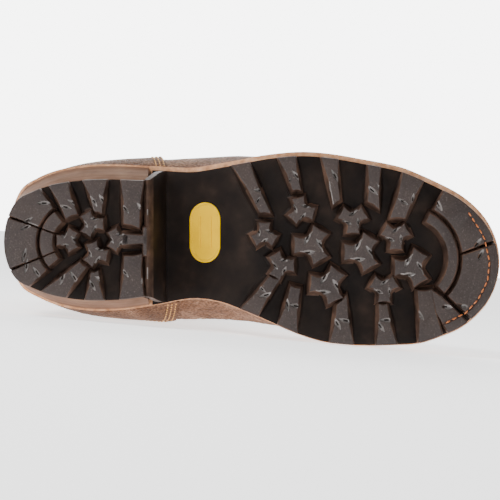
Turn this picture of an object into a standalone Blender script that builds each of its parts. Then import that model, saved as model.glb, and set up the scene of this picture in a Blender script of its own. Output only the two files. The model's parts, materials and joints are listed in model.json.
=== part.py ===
# Logger boot for the right foot: a one-piece lug rubber sole under a stacked heel,
# a midsole and welt, and a hollow lace-up leather upper. The boot lies on its medial side.
# It is drawn upright in a shoe frame: X to the toe, Y to the medial side, Z up from the tread.
import bpy
import bmesh
from math import acos, asin, atan, cos, pi, radians, sin
from mathutils import Matrix, Vector

# Driving sizes, in metres
SOLE_LENGTH = 0.312
BALL_WIDTH = 0.122
LUG_DEPTH = 0.008
OUTSOLE_BASE = 0.0045
MIDSOLE_THICKNESS = 0.0045
HEEL_LIFT = 0.012
STACK_HEIGHT = 0.020
BREAST_FOOT = 0.0042
BREAST_TOP = 0.0132
TOE_SPRING = 0.014
WELT_THICKNESS = 0.003
WELT_MARGIN = 0.0065
SEAT_MARGIN = 0.002
INSTEP_HEIGHT = 0.176
SHAFT_HEIGHT = 0.284
UPPER_WALL = 0.0025
OVERLAY_WALL = 0.0016
COUNTER_HEIGHT = 0.116
TONGUE_WALL = 0.003
TONGUE_WIDTH = 0.078
TONGUE_RISE = 0.009
THROAT_WIDTH = 0.030
INSOLE_THICKNESS = 0.003
EYELET_PITCH = 0.022
FIRST_EYELET = 0.123
EYELET_BORE = 0.0044
EYELET_WALL = 0.0006
EYELET_FLANGE = 0.0020
LACE_DIAMETER = 0.0034
LUG_DRAFT = 0.0009
INLAY_LENGTH = 0.038
INLAY_WIDTH = 0.022
INLAY_THICKNESS = 0.0024
INLAY_SINK = 0.0014
GAP = 0.0003
UPPER_SEAT = 0.0005
LUG_RIM = 0.0004
JOINT_LAP = 0.001
EYELET_RIM = 0.0007
TONGUE_CLEARANCE = 0.0016
INSOLE_MARGIN = 0.0022
WELT_CLEARANCE = 0.0012
WELD = 0.000002

# Places along the sole, as shares of its length
SPRING_START = 0.753
HEEL_FRONT = 0.292
RISE_END = 0.551
SHANK_BREAK = 0.308
WELT_BACK = 0.356
COUNTER_FRONT = 0.338
VAMP_SEAM = (0.635, 0.609)
INLAY_PLACE = (0.404, -0.070)
TOE_CENTRE = (0.808, 0.063)
HEEL_CENTRE = (0.154, -0.020)

# Sole outline: place along the length, centre and half width as shares of the ball width
OUTLINE = [
    # along, centre, half
    (0.000, -0.033, 0.000),
    (0.022, -0.043, 0.240),
    (0.063, -0.045, 0.317),
    (0.104, -0.044, 0.357),
    (0.166, -0.044, 0.382),
    (0.228, -0.046, 0.382),
    (0.272, -0.050, 0.372),
    (0.310, -0.056, 0.362),
    (0.378, -0.066, 0.343),
    (0.432, -0.068, 0.359),
    (0.471, -0.059, 0.383),
    (0.525, -0.043, 0.423),
    (0.595, -0.013, 0.469),
    (0.655, 0.013, 0.485),
    (0.715, 0.032, 0.478),
    (0.795, 0.051, 0.456),
    (0.836, 0.067, 0.432),
    (0.876, 0.074, 0.393),
    (0.918, 0.080, 0.343),
    (0.959, 0.082, 0.258),
    (0.980, 0.083, 0.186),
    (1.000, 0.082, 0.000),
]

# Lugs at the edge: side (-1 lateral, 1 medial), the two places on the outline, the two inner corners
SIDE_LUGS = [
    # side, out_a, out_b, in_a along, in_a across, in_b along, in_b across
    (-1, 0.458, 0.494, 0.514, -0.167, 0.537, -0.162),
    (-1, 0.549, 0.586, 0.579, -0.280, 0.596, -0.280),
    (-1, 0.635, 0.670, 0.659, -0.202, 0.673, -0.232),
    (-1, 0.727, 0.754, 0.727, -0.224, 0.751, -0.184),
    (-1, 0.797, 0.840, 0.771, -0.137, 0.802, -0.137),
    (1, 0.475, 0.511, 0.533, 0.152, 0.554, 0.170),
    (1, 0.549, 0.588, 0.575, 0.200, 0.595, 0.213),
    (1, 0.652, 0.700, 0.666, 0.297, 0.686, 0.248),
    (1, 0.744, 0.787, 0.749, 0.292, 0.766, 0.292),
    (1, 0.828, 0.878, 0.826, 0.224, 0.856, 0.217),
    (-1, 0.096, 0.135, 0.130, -0.137, 0.154, -0.161),
    (-1, 0.163, 0.212, 0.187, -0.173, 0.202, -0.161),
    (-1, 0.238, 0.285, 0.244, -0.112, 0.276, -0.089),
    (1, 0.236, 0.285, 0.245, 0.051, 0.281, 0.041),
    (1, 0.167, 0.206, 0.179, 0.134, 0.195, 0.124),
    (1, 0.080, 0.130, 0.158, 0.080, 0.172, 0.107),
]

# Three-armed lugs: place, first arm's angle, reach of an arm as a share of the ball width
STAR_LUGS = [
    # along, across, angle, reach
    (0.523, -0.057, 90, 0.062),
    (0.596, -0.180, 105, 0.066),
    (0.556, 0.099, 0, 0.067),
    (0.617, -0.005, 60, 0.091),
    (0.698, -0.134, 30, 0.070),
    (0.716, 0.031, 60, 0.091),
    (0.649, 0.198, 55, 0.091),
    (0.783, -0.050, 30, 0.069),
    (0.816, 0.109, 60, 0.092),
    (0.760, 0.215, 30, 0.069),
    (0.134, -0.030, 60, 0.056),
    (0.181, -0.112, 0, 0.060),
    (0.189, 0.041, 110, 0.060),
    (0.232, -0.033, 0, 0.054),
]

# Curved bars round the toe and heel: centre, inner and outer radius as shares of the ball width,
# first and last angle. An outer radius of 0 runs to the outline.
ARC_LUGS = [
    # centre, inner, outer, first, last
    (TOE_CENTRE, 0.205, 0.256, 64, -43),
    (TOE_CENTRE, 0.280, 0.0, 62, 9),
    (TOE_CENTRE, 0.280, 0.0, 6, -43),
    (HEEL_CENTRE, 0.129, 0.192, 128, 158),
    (HEEL_CENTRE, 0.129, 0.192, 162, 201),
    (HEEL_CENTRE, 0.129, 0.192, 205, 220),
    (HEEL_CENTRE, 0.213, 0.0, 126, 158.5),
    (HEEL_CENTRE, 0.213, 0.0, 161.5, 201),
    (HEEL_CENTRE, 0.213, 0.0, 204, 222),
]

# Lugs with an outline of their own, as places: the rib and bar at the heel's front, the wedge at the toe
FREE_LUGS = [
    [(0.242, -0.062), (0.290, -0.054), (0.290, -0.012), (0.242, -0.004)],
    [(0.283, -0.094), (0.290, -0.094), (0.290, 0.049), (0.283, 0.049)],
    [(0.853, 0.217), (0.873, 0.254), (0.928, 0.381), (0.910, 0.403), (0.889, 0.436), (0.864, 0.340)],
]

# Upper: a fan of sections, each from a base point to a top point of the side profile.
# The base is on the feather line (rise 0) or up the back. Foot heights are shares of the
# instep's height, shaft heights shares of what the shaft adds to it.
SECTIONS = [
    # base along, base rise, top along, foot height, shaft height, half width, top centre, fullness
    (0.979, 0.000, 0.978, 0.262, 0.000, 0.000, 0.082, 0.70),
    (0.968, 0.000, 0.960, 0.320, 0.000, 0.000, 0.082, 0.70),
    (0.949, 0.000, 0.938, 0.375, 0.000, 0.000, 0.082, 0.70),
    (0.917, 0.000, 0.900, 0.418, 0.000, 0.000, 0.078, 0.72),
    (0.865, 0.000, 0.840, 0.455, 0.000, 0.000, 0.066, 0.78),
    (0.801, 0.000, 0.763, 0.500, 0.000, 0.432, 0.050, 0.84),
    (0.721, 0.000, 0.683, 0.560, 0.000, 0.448, 0.034, 0.90),
    (0.635, 0.000, 0.609, 0.636, 0.000, 0.448, 0.020, 0.96),
    (0.551, 0.000, 0.574, 0.678, 0.000, 0.444, 0.008, 1.00),
    (0.468, 0.000, 0.542, 0.724, 0.000, 0.441, -0.002, 1.00),
    (0.378, 0.000, 0.516, 0.772, 0.000, 0.438, -0.010, 1.00),
    (0.288, 0.000, 0.495, 0.820, 0.000, 0.433, -0.016, 1.00),
    (0.199, 0.000, 0.478, 0.864, 0.000, 0.426, -0.020, 1.00),
    (0.115, 0.000, 0.465, 0.906, 0.000, 0.418, -0.022, 1.00),
    (0.051, 0.000, 0.455, 0.943, 0.000, 0.412, -0.024, 1.00),
    (0.018, 0.000, 0.448, 0.972, 0.000, 0.408, -0.024, 1.00),
    (0.0075, 0.006, 0.443, 1.000, 0.000, 0.404, -0.024, 1.00),
    (0.0015, 0.105, 0.437, 1.000, 0.111, 0.400, -0.022, 1.00),
    (0.008, 0.222, 0.433, 1.000, 0.250, 0.397, -0.020, 1.00),
    (0.024, 0.356, 0.431, 1.000, 0.389, 0.396, -0.018, 1.00),
    (0.029, 0.490, 0.430, 1.000, 0.537, 0.400, -0.016, 1.00),
    (0.021, 0.648, 0.431, 1.000, 0.694, 0.408, -0.014, 1.00),
    (0.008, 0.824, 0.435, 1.000, 0.852, 0.414, -0.012, 1.00),
    (0.000, 0.984, 0.439, 1.000, 1.000, 0.416, -0.012, 1.00),
]
THROAT_SECTION = 7.0
RING_STEPS = 9
EYELET_STEP = 8
STAY_STEP = 7

# Colours, roughness and metallic value of each finish
FINISHES = {
    "rubber": ((0.045, 0.037, 0.033), 0.62, 0.0),
    "stack": ((0.250, 0.160, 0.115), 0.55, 0.0),
    "edge": ((0.640, 0.390, 0.240), 0.60, 0.0),
    "leather": ((0.260, 0.160, 0.095), 0.58, 0.0),
    "lining": ((0.470, 0.330, 0.210), 0.80, 0.0),
    "brass": ((0.620, 0.430, 0.180), 0.32, 1.0),
    "lace": ((0.120, 0.070, 0.040), 0.75, 0.0),
    "inlay": ((0.900, 0.620, 0.020), 0.45, 0.0),
}
# Weight of each finish in kilograms a cubic metre, for the side that the boot rests on
DENSITY = {"rubber": 1150, "stack": 1000, "edge": 1000, "leather": 900, "lining": 500,
           "brass": 8400, "lace": 900, "inlay": 1100}


def clear_scene():
    for item in list(bpy.data.objects):
        bpy.data.objects.remove(item, do_unlink=True)


def new_collection(name):
    group = bpy.data.collections.new(name)
    bpy.context.scene.collection.children.link(group)
    return group


def finish(name):
    if name in bpy.data.materials:
        return bpy.data.materials[name]
    colour, roughness, metallic = FINISHES[name]
    material = bpy.data.materials.new(name)
    material.use_nodes = True
    shader = material.node_tree.nodes["Principled BSDF"]
    shader.inputs["Base Color"].default_value = (*colour, 1.0)
    shader.inputs["Roughness"].default_value = roughness
    shader.inputs["Metallic"].default_value = metallic
    return material


def new_object(name, mesh_work, group, look=None):
    mesh = bpy.data.meshes.new(name)
    mesh_work.to_mesh(mesh)
    mesh_work.free()
    item = bpy.data.objects.new(name, mesh)
    group.objects.link(item)
    if look:
        mesh.materials.append(finish(look))
    mesh.shade_smooth()
    mesh.set_sharp_from_angle(angle=radians(32))
    return item


def apply_modifiers(item):
    graph = bpy.context.evaluated_depsgraph_get()
    baked = bpy.data.meshes.new_from_object(item.evaluated_get(graph))
    item.modifiers.clear()
    old = item.data
    item.data = baked
    bpy.data.meshes.remove(old)


def boolean(item, other, operation, crossing=False):
    # crossing is for an other whose own blocks run into each other
    step = item.modifiers.new("cut", "BOOLEAN")
    step.operation = operation
    step.solver = "EXACT"
    step.use_self = crossing
    step.object = other
    apply_modifiers(item)
    mesh = other.data
    bpy.data.objects.remove(other)
    bpy.data.meshes.remove(mesh)


def curve_value(rows, places, column, place):
    # A smooth line through the rows' values, level with its neighbours' slope at each row
    last = len(rows) - 1
    k = 0
    while k < last - 1 and place > places[k + 1]:
        k += 1
    a, b = places[k], places[k + 1]
    t = (place - a) / (b - a)

    def slope(i):
        lo, hi = max(i - 1, 0), min(i + 1, last)
        return (rows[hi][column] - rows[lo][column]) / (places[hi] - places[lo])

    start, end = rows[k][column], rows[k + 1][column]
    return (start * (1 + 2 * t) * (1 - t) ** 2 + end * t * t * (3 - 2 * t)
            + (b - a) * (slope(k) * t * (1 - t) ** 2 + slope(k + 1) * t * t * (t - 1)))


def smooth_step(value):
    t = min(max(value, 0.0), 1.0)
    return t * t * (3 - 2 * t)


# Outline and heights of the sole

OUTLINE_TURNS = [acos(1 - 2 * row[0]) for row in OUTLINE]


def outline(x, inset=0.0, shift=0.0, narrow=1.0):
    # Lateral and medial edge at x, of an outline drawn in by an inset all round
    share = min(max((x - inset) / (SOLE_LENGTH - 2 * inset), 0.0), 1.0)
    turn = acos(1 - 2 * share)
    centre = curve_value(OUTLINE, OUTLINE_TURNS, 1, turn) * BALL_WIDTH + shift
    half = max(curve_value(OUTLINE, OUTLINE_TURNS, 2, turn), 0.0) * BALL_WIDTH
    round_end = 0.28 * BALL_WIDTH
    half = narrow * (half - inset * min(1.0, half / round_end))
    return centre - half, centre + half


def rocker(x):
    # Height of the tread over the ground
    start = SPRING_START * SOLE_LENGTH
    if x <= start:
        return 0.0
    return TOE_SPRING * ((x - start) / (SOLE_LENGTH - start)) ** 2


def run(start, stop, count, round_start, round_stop):
    # Places from start to stop, close together at a rounded end
    shares = [k / count for k in range(count + 1)]
    if round_start and round_stop:
        shares = [(1 - cos(pi * s)) / 2 for s in shares]
    elif round_start:
        shares = [1 - cos(pi / 2 * s) for s in shares]
    elif round_stop:
        shares = [sin(pi / 2 * s) for s in shares]
    return [start + (stop - start) * s for s in shares]


def sole_height(x):
    # Underside of the midsole: over the stacked heel, down the shank, over the forefoot
    low = rocker(x) + LUG_DEPTH + OUTSOLE_BASE
    high = LUG_DEPTH + HEEL_LIFT + STACK_HEIGHT
    start, end = SHANK_BREAK * SOLE_LENGTH, RISE_END * SOLE_LENGTH
    return low + (high - low) * smooth_step((end - x) / (end - start))


# The sole's layers bend at the same stations, so that they lie flat on each other
STATIONS = run(0.0, SOLE_LENGTH, 38, True, True)
STATION_HEIGHTS = [sole_height(x) for x in STATIONS]


def stations_between(start, stop, clear=0.0006):
    return [start] + [x for x in STATIONS if start + clear < x < stop - clear] + [stop]


def base_line(x):
    k = 0
    while k < len(STATIONS) - 2 and x > STATIONS[k + 1]:
        k += 1
    share = (x - STATIONS[k]) / (STATIONS[k + 1] - STATIONS[k])
    return STATION_HEIGHTS[k] + (STATION_HEIGHTS[k + 1] - STATION_HEIGHTS[k]) * share


def midsole_top(x):
    return base_line(x) + MIDSOLE_THICKNESS


def tread_top(x):
    # Underside of the rubber between the lugs, ahead of the heel
    return base_line(x) - OUTSOLE_BASE


def level(places, height, inset=0.0, shift=0.0, narrow=1.0):
    # A pair of points, lateral and medial, at each place
    pairs = []
    for x in places:
        lateral, medial = outline(x, inset, shift, narrow)
        z = height(x)
        pairs.append((Vector((x, lateral, z)), Vector((x, medial, z))))
    return pairs


def plate(levels):
    # A closed solid between levels of paired points, lowest first
    work = bmesh.new()
    rows = [[(work.verts.new(a), work.verts.new(b)) for a, b in pairs] for pairs in levels]
    for low, high in zip(rows, rows[1:]):
        for k in range(len(low) - 1):
            for side in (0, 1):
                work.faces.new((low[k][side], low[k + 1][side], high[k + 1][side], high[k][side]))
        for end in (0, -1):
            work.faces.new((low[end][0], low[end][1], high[end][1], high[end][0]))
    for pairs in (rows[0], rows[-1]):
        for k in range(len(pairs) - 1):
            work.faces.new((pairs[k][0], pairs[k + 1][0], pairs[k + 1][1], pairs[k][1]))
    bmesh.ops.remove_doubles(work, verts=work.verts, dist=WELD)
    bmesh.ops.dissolve_degenerate(work, edges=work.edges, dist=0.000001)
    bmesh.ops.recalc_face_normals(work, faces=work.faces)
    return work


# Sole pieces

TREAD_INSET = 0.0019
TREAD_SHIFT = 0.0011
LIFT_NARROW = 0.835
LIFT_SHIFT = 0.0017
STACK_INSET = 0.0012


def tread_edges(x):
    if x < HEEL_FRONT * SOLE_LENGTH:
        return outline(x, TREAD_INSET, LIFT_SHIFT, LIFT_NARROW)
    return outline(x, TREAD_INSET, TREAD_SHIFT)


def lug_block(work, corners, floor):
    # A lug with drafted sides: corners at its foot, standing down from the rubber to the ground
    foot, tip = [], []
    middle = sum((Vector(corner) for corner in corners), Vector((0, 0))) / len(corners)
    for x, y in corners:
        lateral, medial = tread_edges(x)
        y = min(max(y, lateral + LUG_RIM), medial - LUG_RIM)
        away = Vector((x, y)) - middle
        drawn = middle + away * (1 - LUG_DRAFT / max(away.length, LUG_DRAFT * 4))
        foot.append(work.verts.new((x, y, floor(x) + OUTSOLE_BASE * 0.45)))
        tip.append(work.verts.new((drawn.x, drawn.y, rocker(drawn.x))))
    count = len(corners)
    for k in range(count):
        following = (k + 1) % count
        work.faces.new((foot[k], foot[following], tip[following], tip[k]))
    work.faces.new(foot)
    work.faces.new(tip)


def lug_floor(x):
    if x < HEEL_FRONT * SOLE_LENGTH:
        return LUG_DEPTH
    return tread_top(x)


def side_lug_corners(row):
    side, out_a, out_b, ax, ay, bx, by = row
    edge = 0 if side < 0 else 1
    outer = [out_a + (out_b - out_a) * k / 3 for k in range(4)]
    corners = [(x * SOLE_LENGTH, tread_edges(x * SOLE_LENGTH)[edge]) for x in outer]
    corners += [(bx * SOLE_LENGTH, by * BALL_WIDTH), (ax * SOLE_LENGTH, ay * BALL_WIDTH)]
    return corners


def star_corners(row):
    # Three arms with square ends, joined by hollow sides
    along, across, angle, reach = row
    centre = Vector((along * SOLE_LENGTH, across * BALL_WIDTH))
    arm = reach * BALL_WIDTH
    half_end = 0.48 * arm
    corners = []
    for k in range(3):
        turn = radians(angle + 120 * k)
        out = Vector((cos(turn), -sin(turn)))
        side = Vector((sin(turn), cos(turn)))
        corners.append(centre + out * arm + side * half_end)
        corners.append(centre + out * arm - side * half_end)
        hollow = turn + radians(60)
        corners.append(centre + Vector((cos(hollow), -sin(hollow))) * arm * 0.50)
    return [tuple(corner) for corner in corners]


def reach_to_edge(centre, direction):
    # Distance from a centre to the tread's edge, found by halving
    near, far = 0.0, 0.75 * BALL_WIDTH
    for _ in range(24):
        middle = (near + far) / 2
        point = centre + direction * middle
        inside = TREAD_INSET < point.x < SOLE_LENGTH - TREAD_INSET
        if inside:
            lateral, medial = tread_edges(point.x)
            inside = lateral < point.y < medial
        near, far = (middle, far) if inside else (near, middle)
    return near


def arc_corners(row, steps=4):
    place, inner, outer, first, last = row
    centre = Vector((place[0] * SOLE_LENGTH, place[1] * BALL_WIDTH))
    inside, outside = [], []
    for k in range(steps + 1):
        turn = radians(first + (last - first) * k / steps)
        out = Vector((cos(turn), -sin(turn)))
        inside.append(tuple(centre + out * inner * BALL_WIDTH))
        far = outer * BALL_WIDTH if outer else reach_to_edge(centre, out) - LUG_RIM
        outside.append(tuple(centre + out * far))
    return inside + outside[::-1]


def inlay_frame(depth):
    # The inlay lies on the slope of the shank
    x = INLAY_PLACE[0] * SOLE_LENGTH
    step = 0.001
    slope = atan((tread_top(x + step) - tread_top(x - step)) / (2 * step))
    place = Vector((x, INLAY_PLACE[1] * BALL_WIDTH, tread_top(x)))
    return Matrix.Translation(place) @ Matrix.Rotation(-slope, 4, "Y") @ Matrix.Translation((0, 0, depth))


def inlay_shape(width, length, low, high):
    # A plate with round ends, its long side across the sole
    work = bmesh.new()
    radius = width / 2
    ring = []
    for k in range(24):
        turn = 2 * pi * (k + 0.5) / 24
        reach = (length / 2 - radius) * (1 if sin(turn) > 0 else -1)
        ring.append(work.verts.new((radius * cos(turn), radius * sin(turn) + reach, low)))
    face = work.faces.new(ring)
    top = bmesh.ops.extrude_face_region(work, geom=[face])
    raised = [part for part in top["geom"] if isinstance(part, bmesh.types.BMVert)]
    bmesh.ops.translate(work, verts=raised, vec=(0, 0, high - low))
    bmesh.ops.recalc_face_normals(work, faces=work.faces)
    bmesh.ops.transform(work, matrix=inlay_frame(0), verts=work.verts)
    return work


def make_outsole(group, cutters):
    heel_front = HEEL_FRONT * SOLE_LENGTH
    top = lambda x: base_line(x) - GAP
    slab_places = stations_between(heel_front, SOLE_LENGTH - TREAD_INSET)
    slab = plate([level(slab_places, tread_top, TREAD_INSET, TREAD_SHIFT),
                  level(slab_places, top, TREAD_INSET, TREAD_SHIFT)])
    outsole = new_object("outsole", slab, group, "rubber")
    lift_top = LUG_DEPTH + HEEL_LIFT
    lift_places = run(TREAD_INSET, heel_front + GAP, 18, True, False)
    lift = plate([level(lift_places, lambda x: z, TREAD_INSET, LIFT_SHIFT, LIFT_NARROW)
                  for z in (LUG_DEPTH, lift_top)])
    boolean(outsole, new_object("heel_lift", lift, cutters), "UNION")
    wall_low = level([heel_front - JOINT_LAP, heel_front + BREAST_FOOT],
                     lambda x: LUG_DEPTH + GAP / 2, TREAD_INSET, LIFT_SHIFT, LIFT_NARROW)
    wall_high = level([heel_front - JOINT_LAP, heel_front + BREAST_TOP],
                      lambda x: base_line(x) - OUTSOLE_BASE / 2, TREAD_INSET + LUG_RIM, LIFT_SHIFT / 2)
    boolean(outsole, new_object("breast", plate([wall_low, wall_high]), cutters), "UNION")
    lugs = bmesh.new()
    charts = [side_lug_corners(row) for row in SIDE_LUGS]
    charts += [star_corners(row) for row in STAR_LUGS]
    charts += [arc_corners(row) for row in ARC_LUGS]
    charts += [[(x * SOLE_LENGTH, y * BALL_WIDTH) for x, y in row] for row in FREE_LUGS]
    for corners in charts:
        lug_block(lugs, corners, lug_floor)
    bmesh.ops.recalc_face_normals(lugs, faces=lugs.faces)
    boolean(outsole, new_object("lugs", lugs, cutters), "UNION", crossing=True)
    recess = inlay_shape(INLAY_WIDTH + 2 * GAP, INLAY_LENGTH + 2 * GAP, -INLAY_WIDTH / 4, INLAY_SINK + GAP)
    boolean(outsole, new_object("recess", recess, cutters), "DIFFERENCE")
    new_object("inlay", inlay_shape(INLAY_WIDTH, INLAY_LENGTH, INLAY_SINK - INLAY_THICKNESS, INLAY_SINK),
               group, "inlay")


def make_heel_stack(group):
    low = LUG_DEPTH + HEEL_LIFT + GAP
    high = LUG_DEPTH + HEEL_LIFT + STACK_HEIGHT - GAP
    front = HEEL_FRONT * SOLE_LENGTH - JOINT_LAP - GAP
    levels = []
    for share in (0.0, 1.0):
        inset = TREAD_INSET + (STACK_INSET - TREAD_INSET) * share
        narrow = LIFT_NARROW + (1 - LIFT_NARROW) * share
        places = run(inset, front, 18, True, False)
        z = low + (high - low) * share
        levels.append(level(places, lambda x: z, inset, LIFT_SHIFT * (1 - share), narrow))
    new_object("heel_stack", plate(levels), group, "stack")


def make_midsole(group):
    midsole = plate([level(STATIONS, base_line), level(STATIONS, midsole_top)])
    new_object("midsole", midsole, group, "edge")


# Upper: one surface function for the shell, its overlays, the tongue and the laces

SECTION_PLACES = list(range(len(SECTIONS)))


def upper_inset(x):
    # The leather stands in from the sole's edge by the welt in front, and less at the heel
    share = smooth_step((x / SOLE_LENGTH - 0.28) / 0.22)
    return SEAT_MARGIN + (WELT_MARGIN - SEAT_MARGIN) * share


def section(place, lift_off=0.0):
    # Base and top point, half width at the base and at the widest, and fullness
    value = [curve_value(SECTIONS, SECTION_PLACES, column, place) for column in range(8)]
    base_x = value[0] * SOLE_LENGTH
    top_x = value[2] * SOLE_LENGTH
    top_z = value[3] * INSTEP_HEIGHT + value[4] * (SHAFT_HEIGHT - INSTEP_HEIGHT)
    seat = midsole_top(base_x) + UPPER_SEAT
    base_z = seat + max(value[1], 0.0) * (SHAFT_HEIGHT - seat)
    inset = upper_inset(base_x)
    lateral, medial = outline(base_x, inset)
    foot_half = (medial - lateral) / 2 if value[1] <= 0.0035 else 0.0
    centre = (medial + lateral) / 2
    widest = max(value[5] * BALL_WIDTH, foot_half * 1.045)
    base = Vector((base_x, centre, base_z))
    top = Vector((top_x, value[6] * BALL_WIDTH, top_z))
    reach = (top - base).normalized()
    return base, top + reach * lift_off, foot_half, widest + lift_off, value[7]


def ring_point(place, turn_share, side, gap_half=0.0, lift_off=0.0):
    # turn_share runs from the feather line or the back, 0, to the throat's edge, 1
    base, top, foot_half, widest, fullness = section(place, lift_off)
    if widest < 0.0002:
        return base.lerp(top, turn_share)
    start = asin(min(max(foot_half / widest, 0.0), 1.0) ** (1 / fullness))
    stop = pi - asin(min(gap_half / widest, 1.0) ** (1 / fullness))
    turn = start + (stop - start) * turn_share
    along = (cos(start) - cos(turn)) / (cos(start) + 1)
    point = base.lerp(top, along)
    point.y += side * widest * max(sin(turn), 0.0) ** fullness
    return point


def arch_point(place, turn, side, lift_off):
    # A point of the section at a turn from its base, with nothing left out for the throat
    base, top, foot_half, widest, fullness = section(place, lift_off)
    start = asin(min(max(foot_half / widest, 0.0), 1.0) ** (1 / fullness))
    point = base.lerp(top, (cos(start) - cos(turn)) / (cos(start) + 1))
    point.y += side * widest * max(sin(turn), 0.0) ** fullness
    return point


def throat_half(place):
    share = smooth_step((place - THROAT_SECTION) / 2.0)
    return THROAT_WIDTH / 2 * share


def place_at_height(height):
    # The section whose top point is at a height, found by halving
    low, high = 0.0, len(SECTIONS) - 1.0
    for _ in range(30):
        middle = (low + high) / 2
        low, high = (middle, high) if section(middle)[1].z < height else (low, middle)
    return (low + high) / 2


def eyelet_heights():
    count = int((SHAFT_HEIGHT - FIRST_EYELET) / EYELET_PITCH + 0.85)
    return [FIRST_EYELET + EYELET_PITCH * k for k in range(count)]


def place_at_base(x):
    # The section whose base point is at x on the feather line, found by halving
    low, high = 0.0, len(SECTIONS) - 1.0
    for _ in range(30):
        middle = (low + high) / 2
        low, high = (middle, high) if section(middle)[0].x > x else (low, middle)
    return (low + high) / 2


def upper_places():
    # Sections of the shell: by table row over the toes, by the sole's stations along the arch and
    # heel, and by height up the shaft, with one through each pair of eyelets
    places = [float(k) for k in range(int(THROAT_SECTION) + 1)]
    eyelets = [place_at_height(height) for height in eyelet_heights()]
    middles = [place_at_height(height + EYELET_PITCH / 2) for height in eyelet_heights()[:-1]]
    start = section(THROAT_SECTION)[0].x
    arch = SHANK_BREAK * SOLE_LENGTH
    along = [x for x in STATIONS if arch < x < start]
    along += [x for x in STATIONS if 0.02 * SOLE_LENGTH < x <= arch][::2]
    last = float(len(SECTIONS) - 1)
    back = place_at_base(0.02 * SOLE_LENGTH)
    chosen = eyelets + [last]
    for place in [place_at_base(x) for x in along] + [place for place in middles if place > back]:
        if all(abs(place - other) > 0.17 for other in chosen + places):
            chosen.append(place)
    return places + sorted(chosen)


def upper_surface():
    # The outer surface of both sides, open at the throat, collar and underside
    work = bmesh.new()
    places = upper_places()
    grid = {}
    for side in (-1, 1):
        rows = []
        for place in places:
            row = []
            for k in range(RING_STEPS + 1):
                point = ring_point(place, k / RING_STEPS, side, throat_half(place))
                row.append(work.verts.new(point))
            rows.append(row)
        for low, high in zip(rows, rows[1:]):
            for k in range(RING_STEPS):
                face = (low[k], low[k + 1], high[k + 1], high[k])
                work.faces.new(face if side < 0 else face[::-1])
        grid[side] = [[vertex.co.copy() for vertex in row] for row in rows]
    bmesh.ops.remove_doubles(work, verts=work.verts, dist=0.00002)
    bmesh.ops.dissolve_degenerate(work, edges=work.edges, dist=0.00001)
    bmesh.ops.triangulate(work, faces=work.faces)
    bmesh.ops.recalc_face_normals(work, faces=work.faces)
    work.normal_update()
    inside = Vector((SOLE_LENGTH / 2, 0, INSTEP_HEIGHT / 2))
    outward = sum(face.normal.dot(face.calc_center_median() - inside) * face.calc_area() for face in work.faces)
    if outward < 0:
        bmesh.ops.reverse_faces(work, faces=work.faces)
    work.normal_update()
    return work, grid, places


def nearest_vertex(work, point):
    return min(work.verts, key=lambda vertex: (vertex.co - point).length)


def move_out(work, distance):
    moves = [(vertex, vertex.normal * distance * vertex.calc_shell_factor()) for vertex in work.verts]
    for vertex, move in moves:
        vertex.co += move


def thicken(item, thickness, offset):
    wall = item.modifiers.new("wall", "SOLIDIFY")
    wall.thickness = thickness
    wall.offset = offset
    wall.use_even_offset = True
    wall.use_quality_normals = True
    apply_modifiers(item)


def beyond(point, normal, cutters):
    # A block that covers all beyond a plane
    work = bmesh.new()
    bmesh.ops.create_cube(work, size=2 * SOLE_LENGTH)
    turn = normal.to_track_quat("Z", "Y").to_matrix().to_4x4()
    place = Matrix.Translation(point) @ turn @ Matrix.Translation((0, 0, SOLE_LENGTH))
    bmesh.ops.transform(work, matrix=place, verts=work.verts)
    return new_object("beyond", work, cutters)


def make_upper(group, cutters):
    # One shell, parted at the vamp seam, which crosses the foot at the foot of the throat
    foot = section(THROAT_SECTION)[0].z
    crown = section(THROAT_SECTION)[1].z
    seam = Vector((VAMP_SEAM[0] * SOLE_LENGTH, 0, foot))
    rise = Vector(((VAMP_SEAM[1] - VAMP_SEAM[0]) * SOLE_LENGTH, 0, crown - foot))
    forward = Vector((rise.z, 0, -rise.x)).normalized()
    pieces = []
    for name, away in (("vamp", -forward), ("quarters", forward)):
        shell = new_object(name, upper_surface()[0], group, "leather")
        thicken(shell, UPPER_WALL, -1)
        boolean(shell, beyond(seam - away * GAP / 2, away, cutters), "DIFFERENCE")
        pieces.append(shell)
    return pieces


def overlay(name, group, keep, planes):
    # A panel lying on the shell: the shell's own faces, moved out, trimmed by planes and thickened
    work = upper_surface()[0]
    move_out(work, GAP)
    drop = [face for face in work.faces if not keep(face.calc_center_median(), face)]
    bmesh.ops.delete(work, geom=drop, context="FACES")
    for point, normal in planes:
        everything = list(work.verts) + list(work.edges) + list(work.faces)
        bmesh.ops.bisect_plane(work, geom=everything, plane_co=point, plane_no=normal,
                               dist=0.00002, clear_outer=True)
    bmesh.ops.dissolve_degenerate(work, edges=work.edges, dist=0.00005)
    item = new_object(name, work, group, "leather")
    thicken(item, OVERLAY_WALL, 1)
    return item


def make_counter(group):
    front = Vector((COUNTER_FRONT * SOLE_LENGTH, 0, midsole_top(0)))
    lean = Vector((1.0, -0.094, 0.16)).normalized()
    crown = Vector((0.0, 0, COUNTER_HEIGHT))
    tilt = Vector((0.36, 0.0, 1.0)).normalized()
    foot = Vector((0, 0, midsole_top(0) + WELT_CLEARANCE))
    return overlay("counter", group, lambda centre, face: centre.x < 0.5 * SOLE_LENGTH,
                   [(front, lean), (crown, tilt), (foot, Vector((0, 0, -1)))])


def make_eyestay(side, name, group):
    work, grid, places = upper_surface()
    corners = [grid[side][j][k] for j in range(len(places)) for k in range(STAY_STEP, RING_STEPS + 1)
               if places[j] >= THROAT_SECTION + 0.9]
    work.free()

    def in_stay(centre, face):
        return all(min((vertex.co - corner).length for corner in corners) < GAP * 4
                   for vertex in face.verts)

    return overlay(name, group, in_stay, [])


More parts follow.
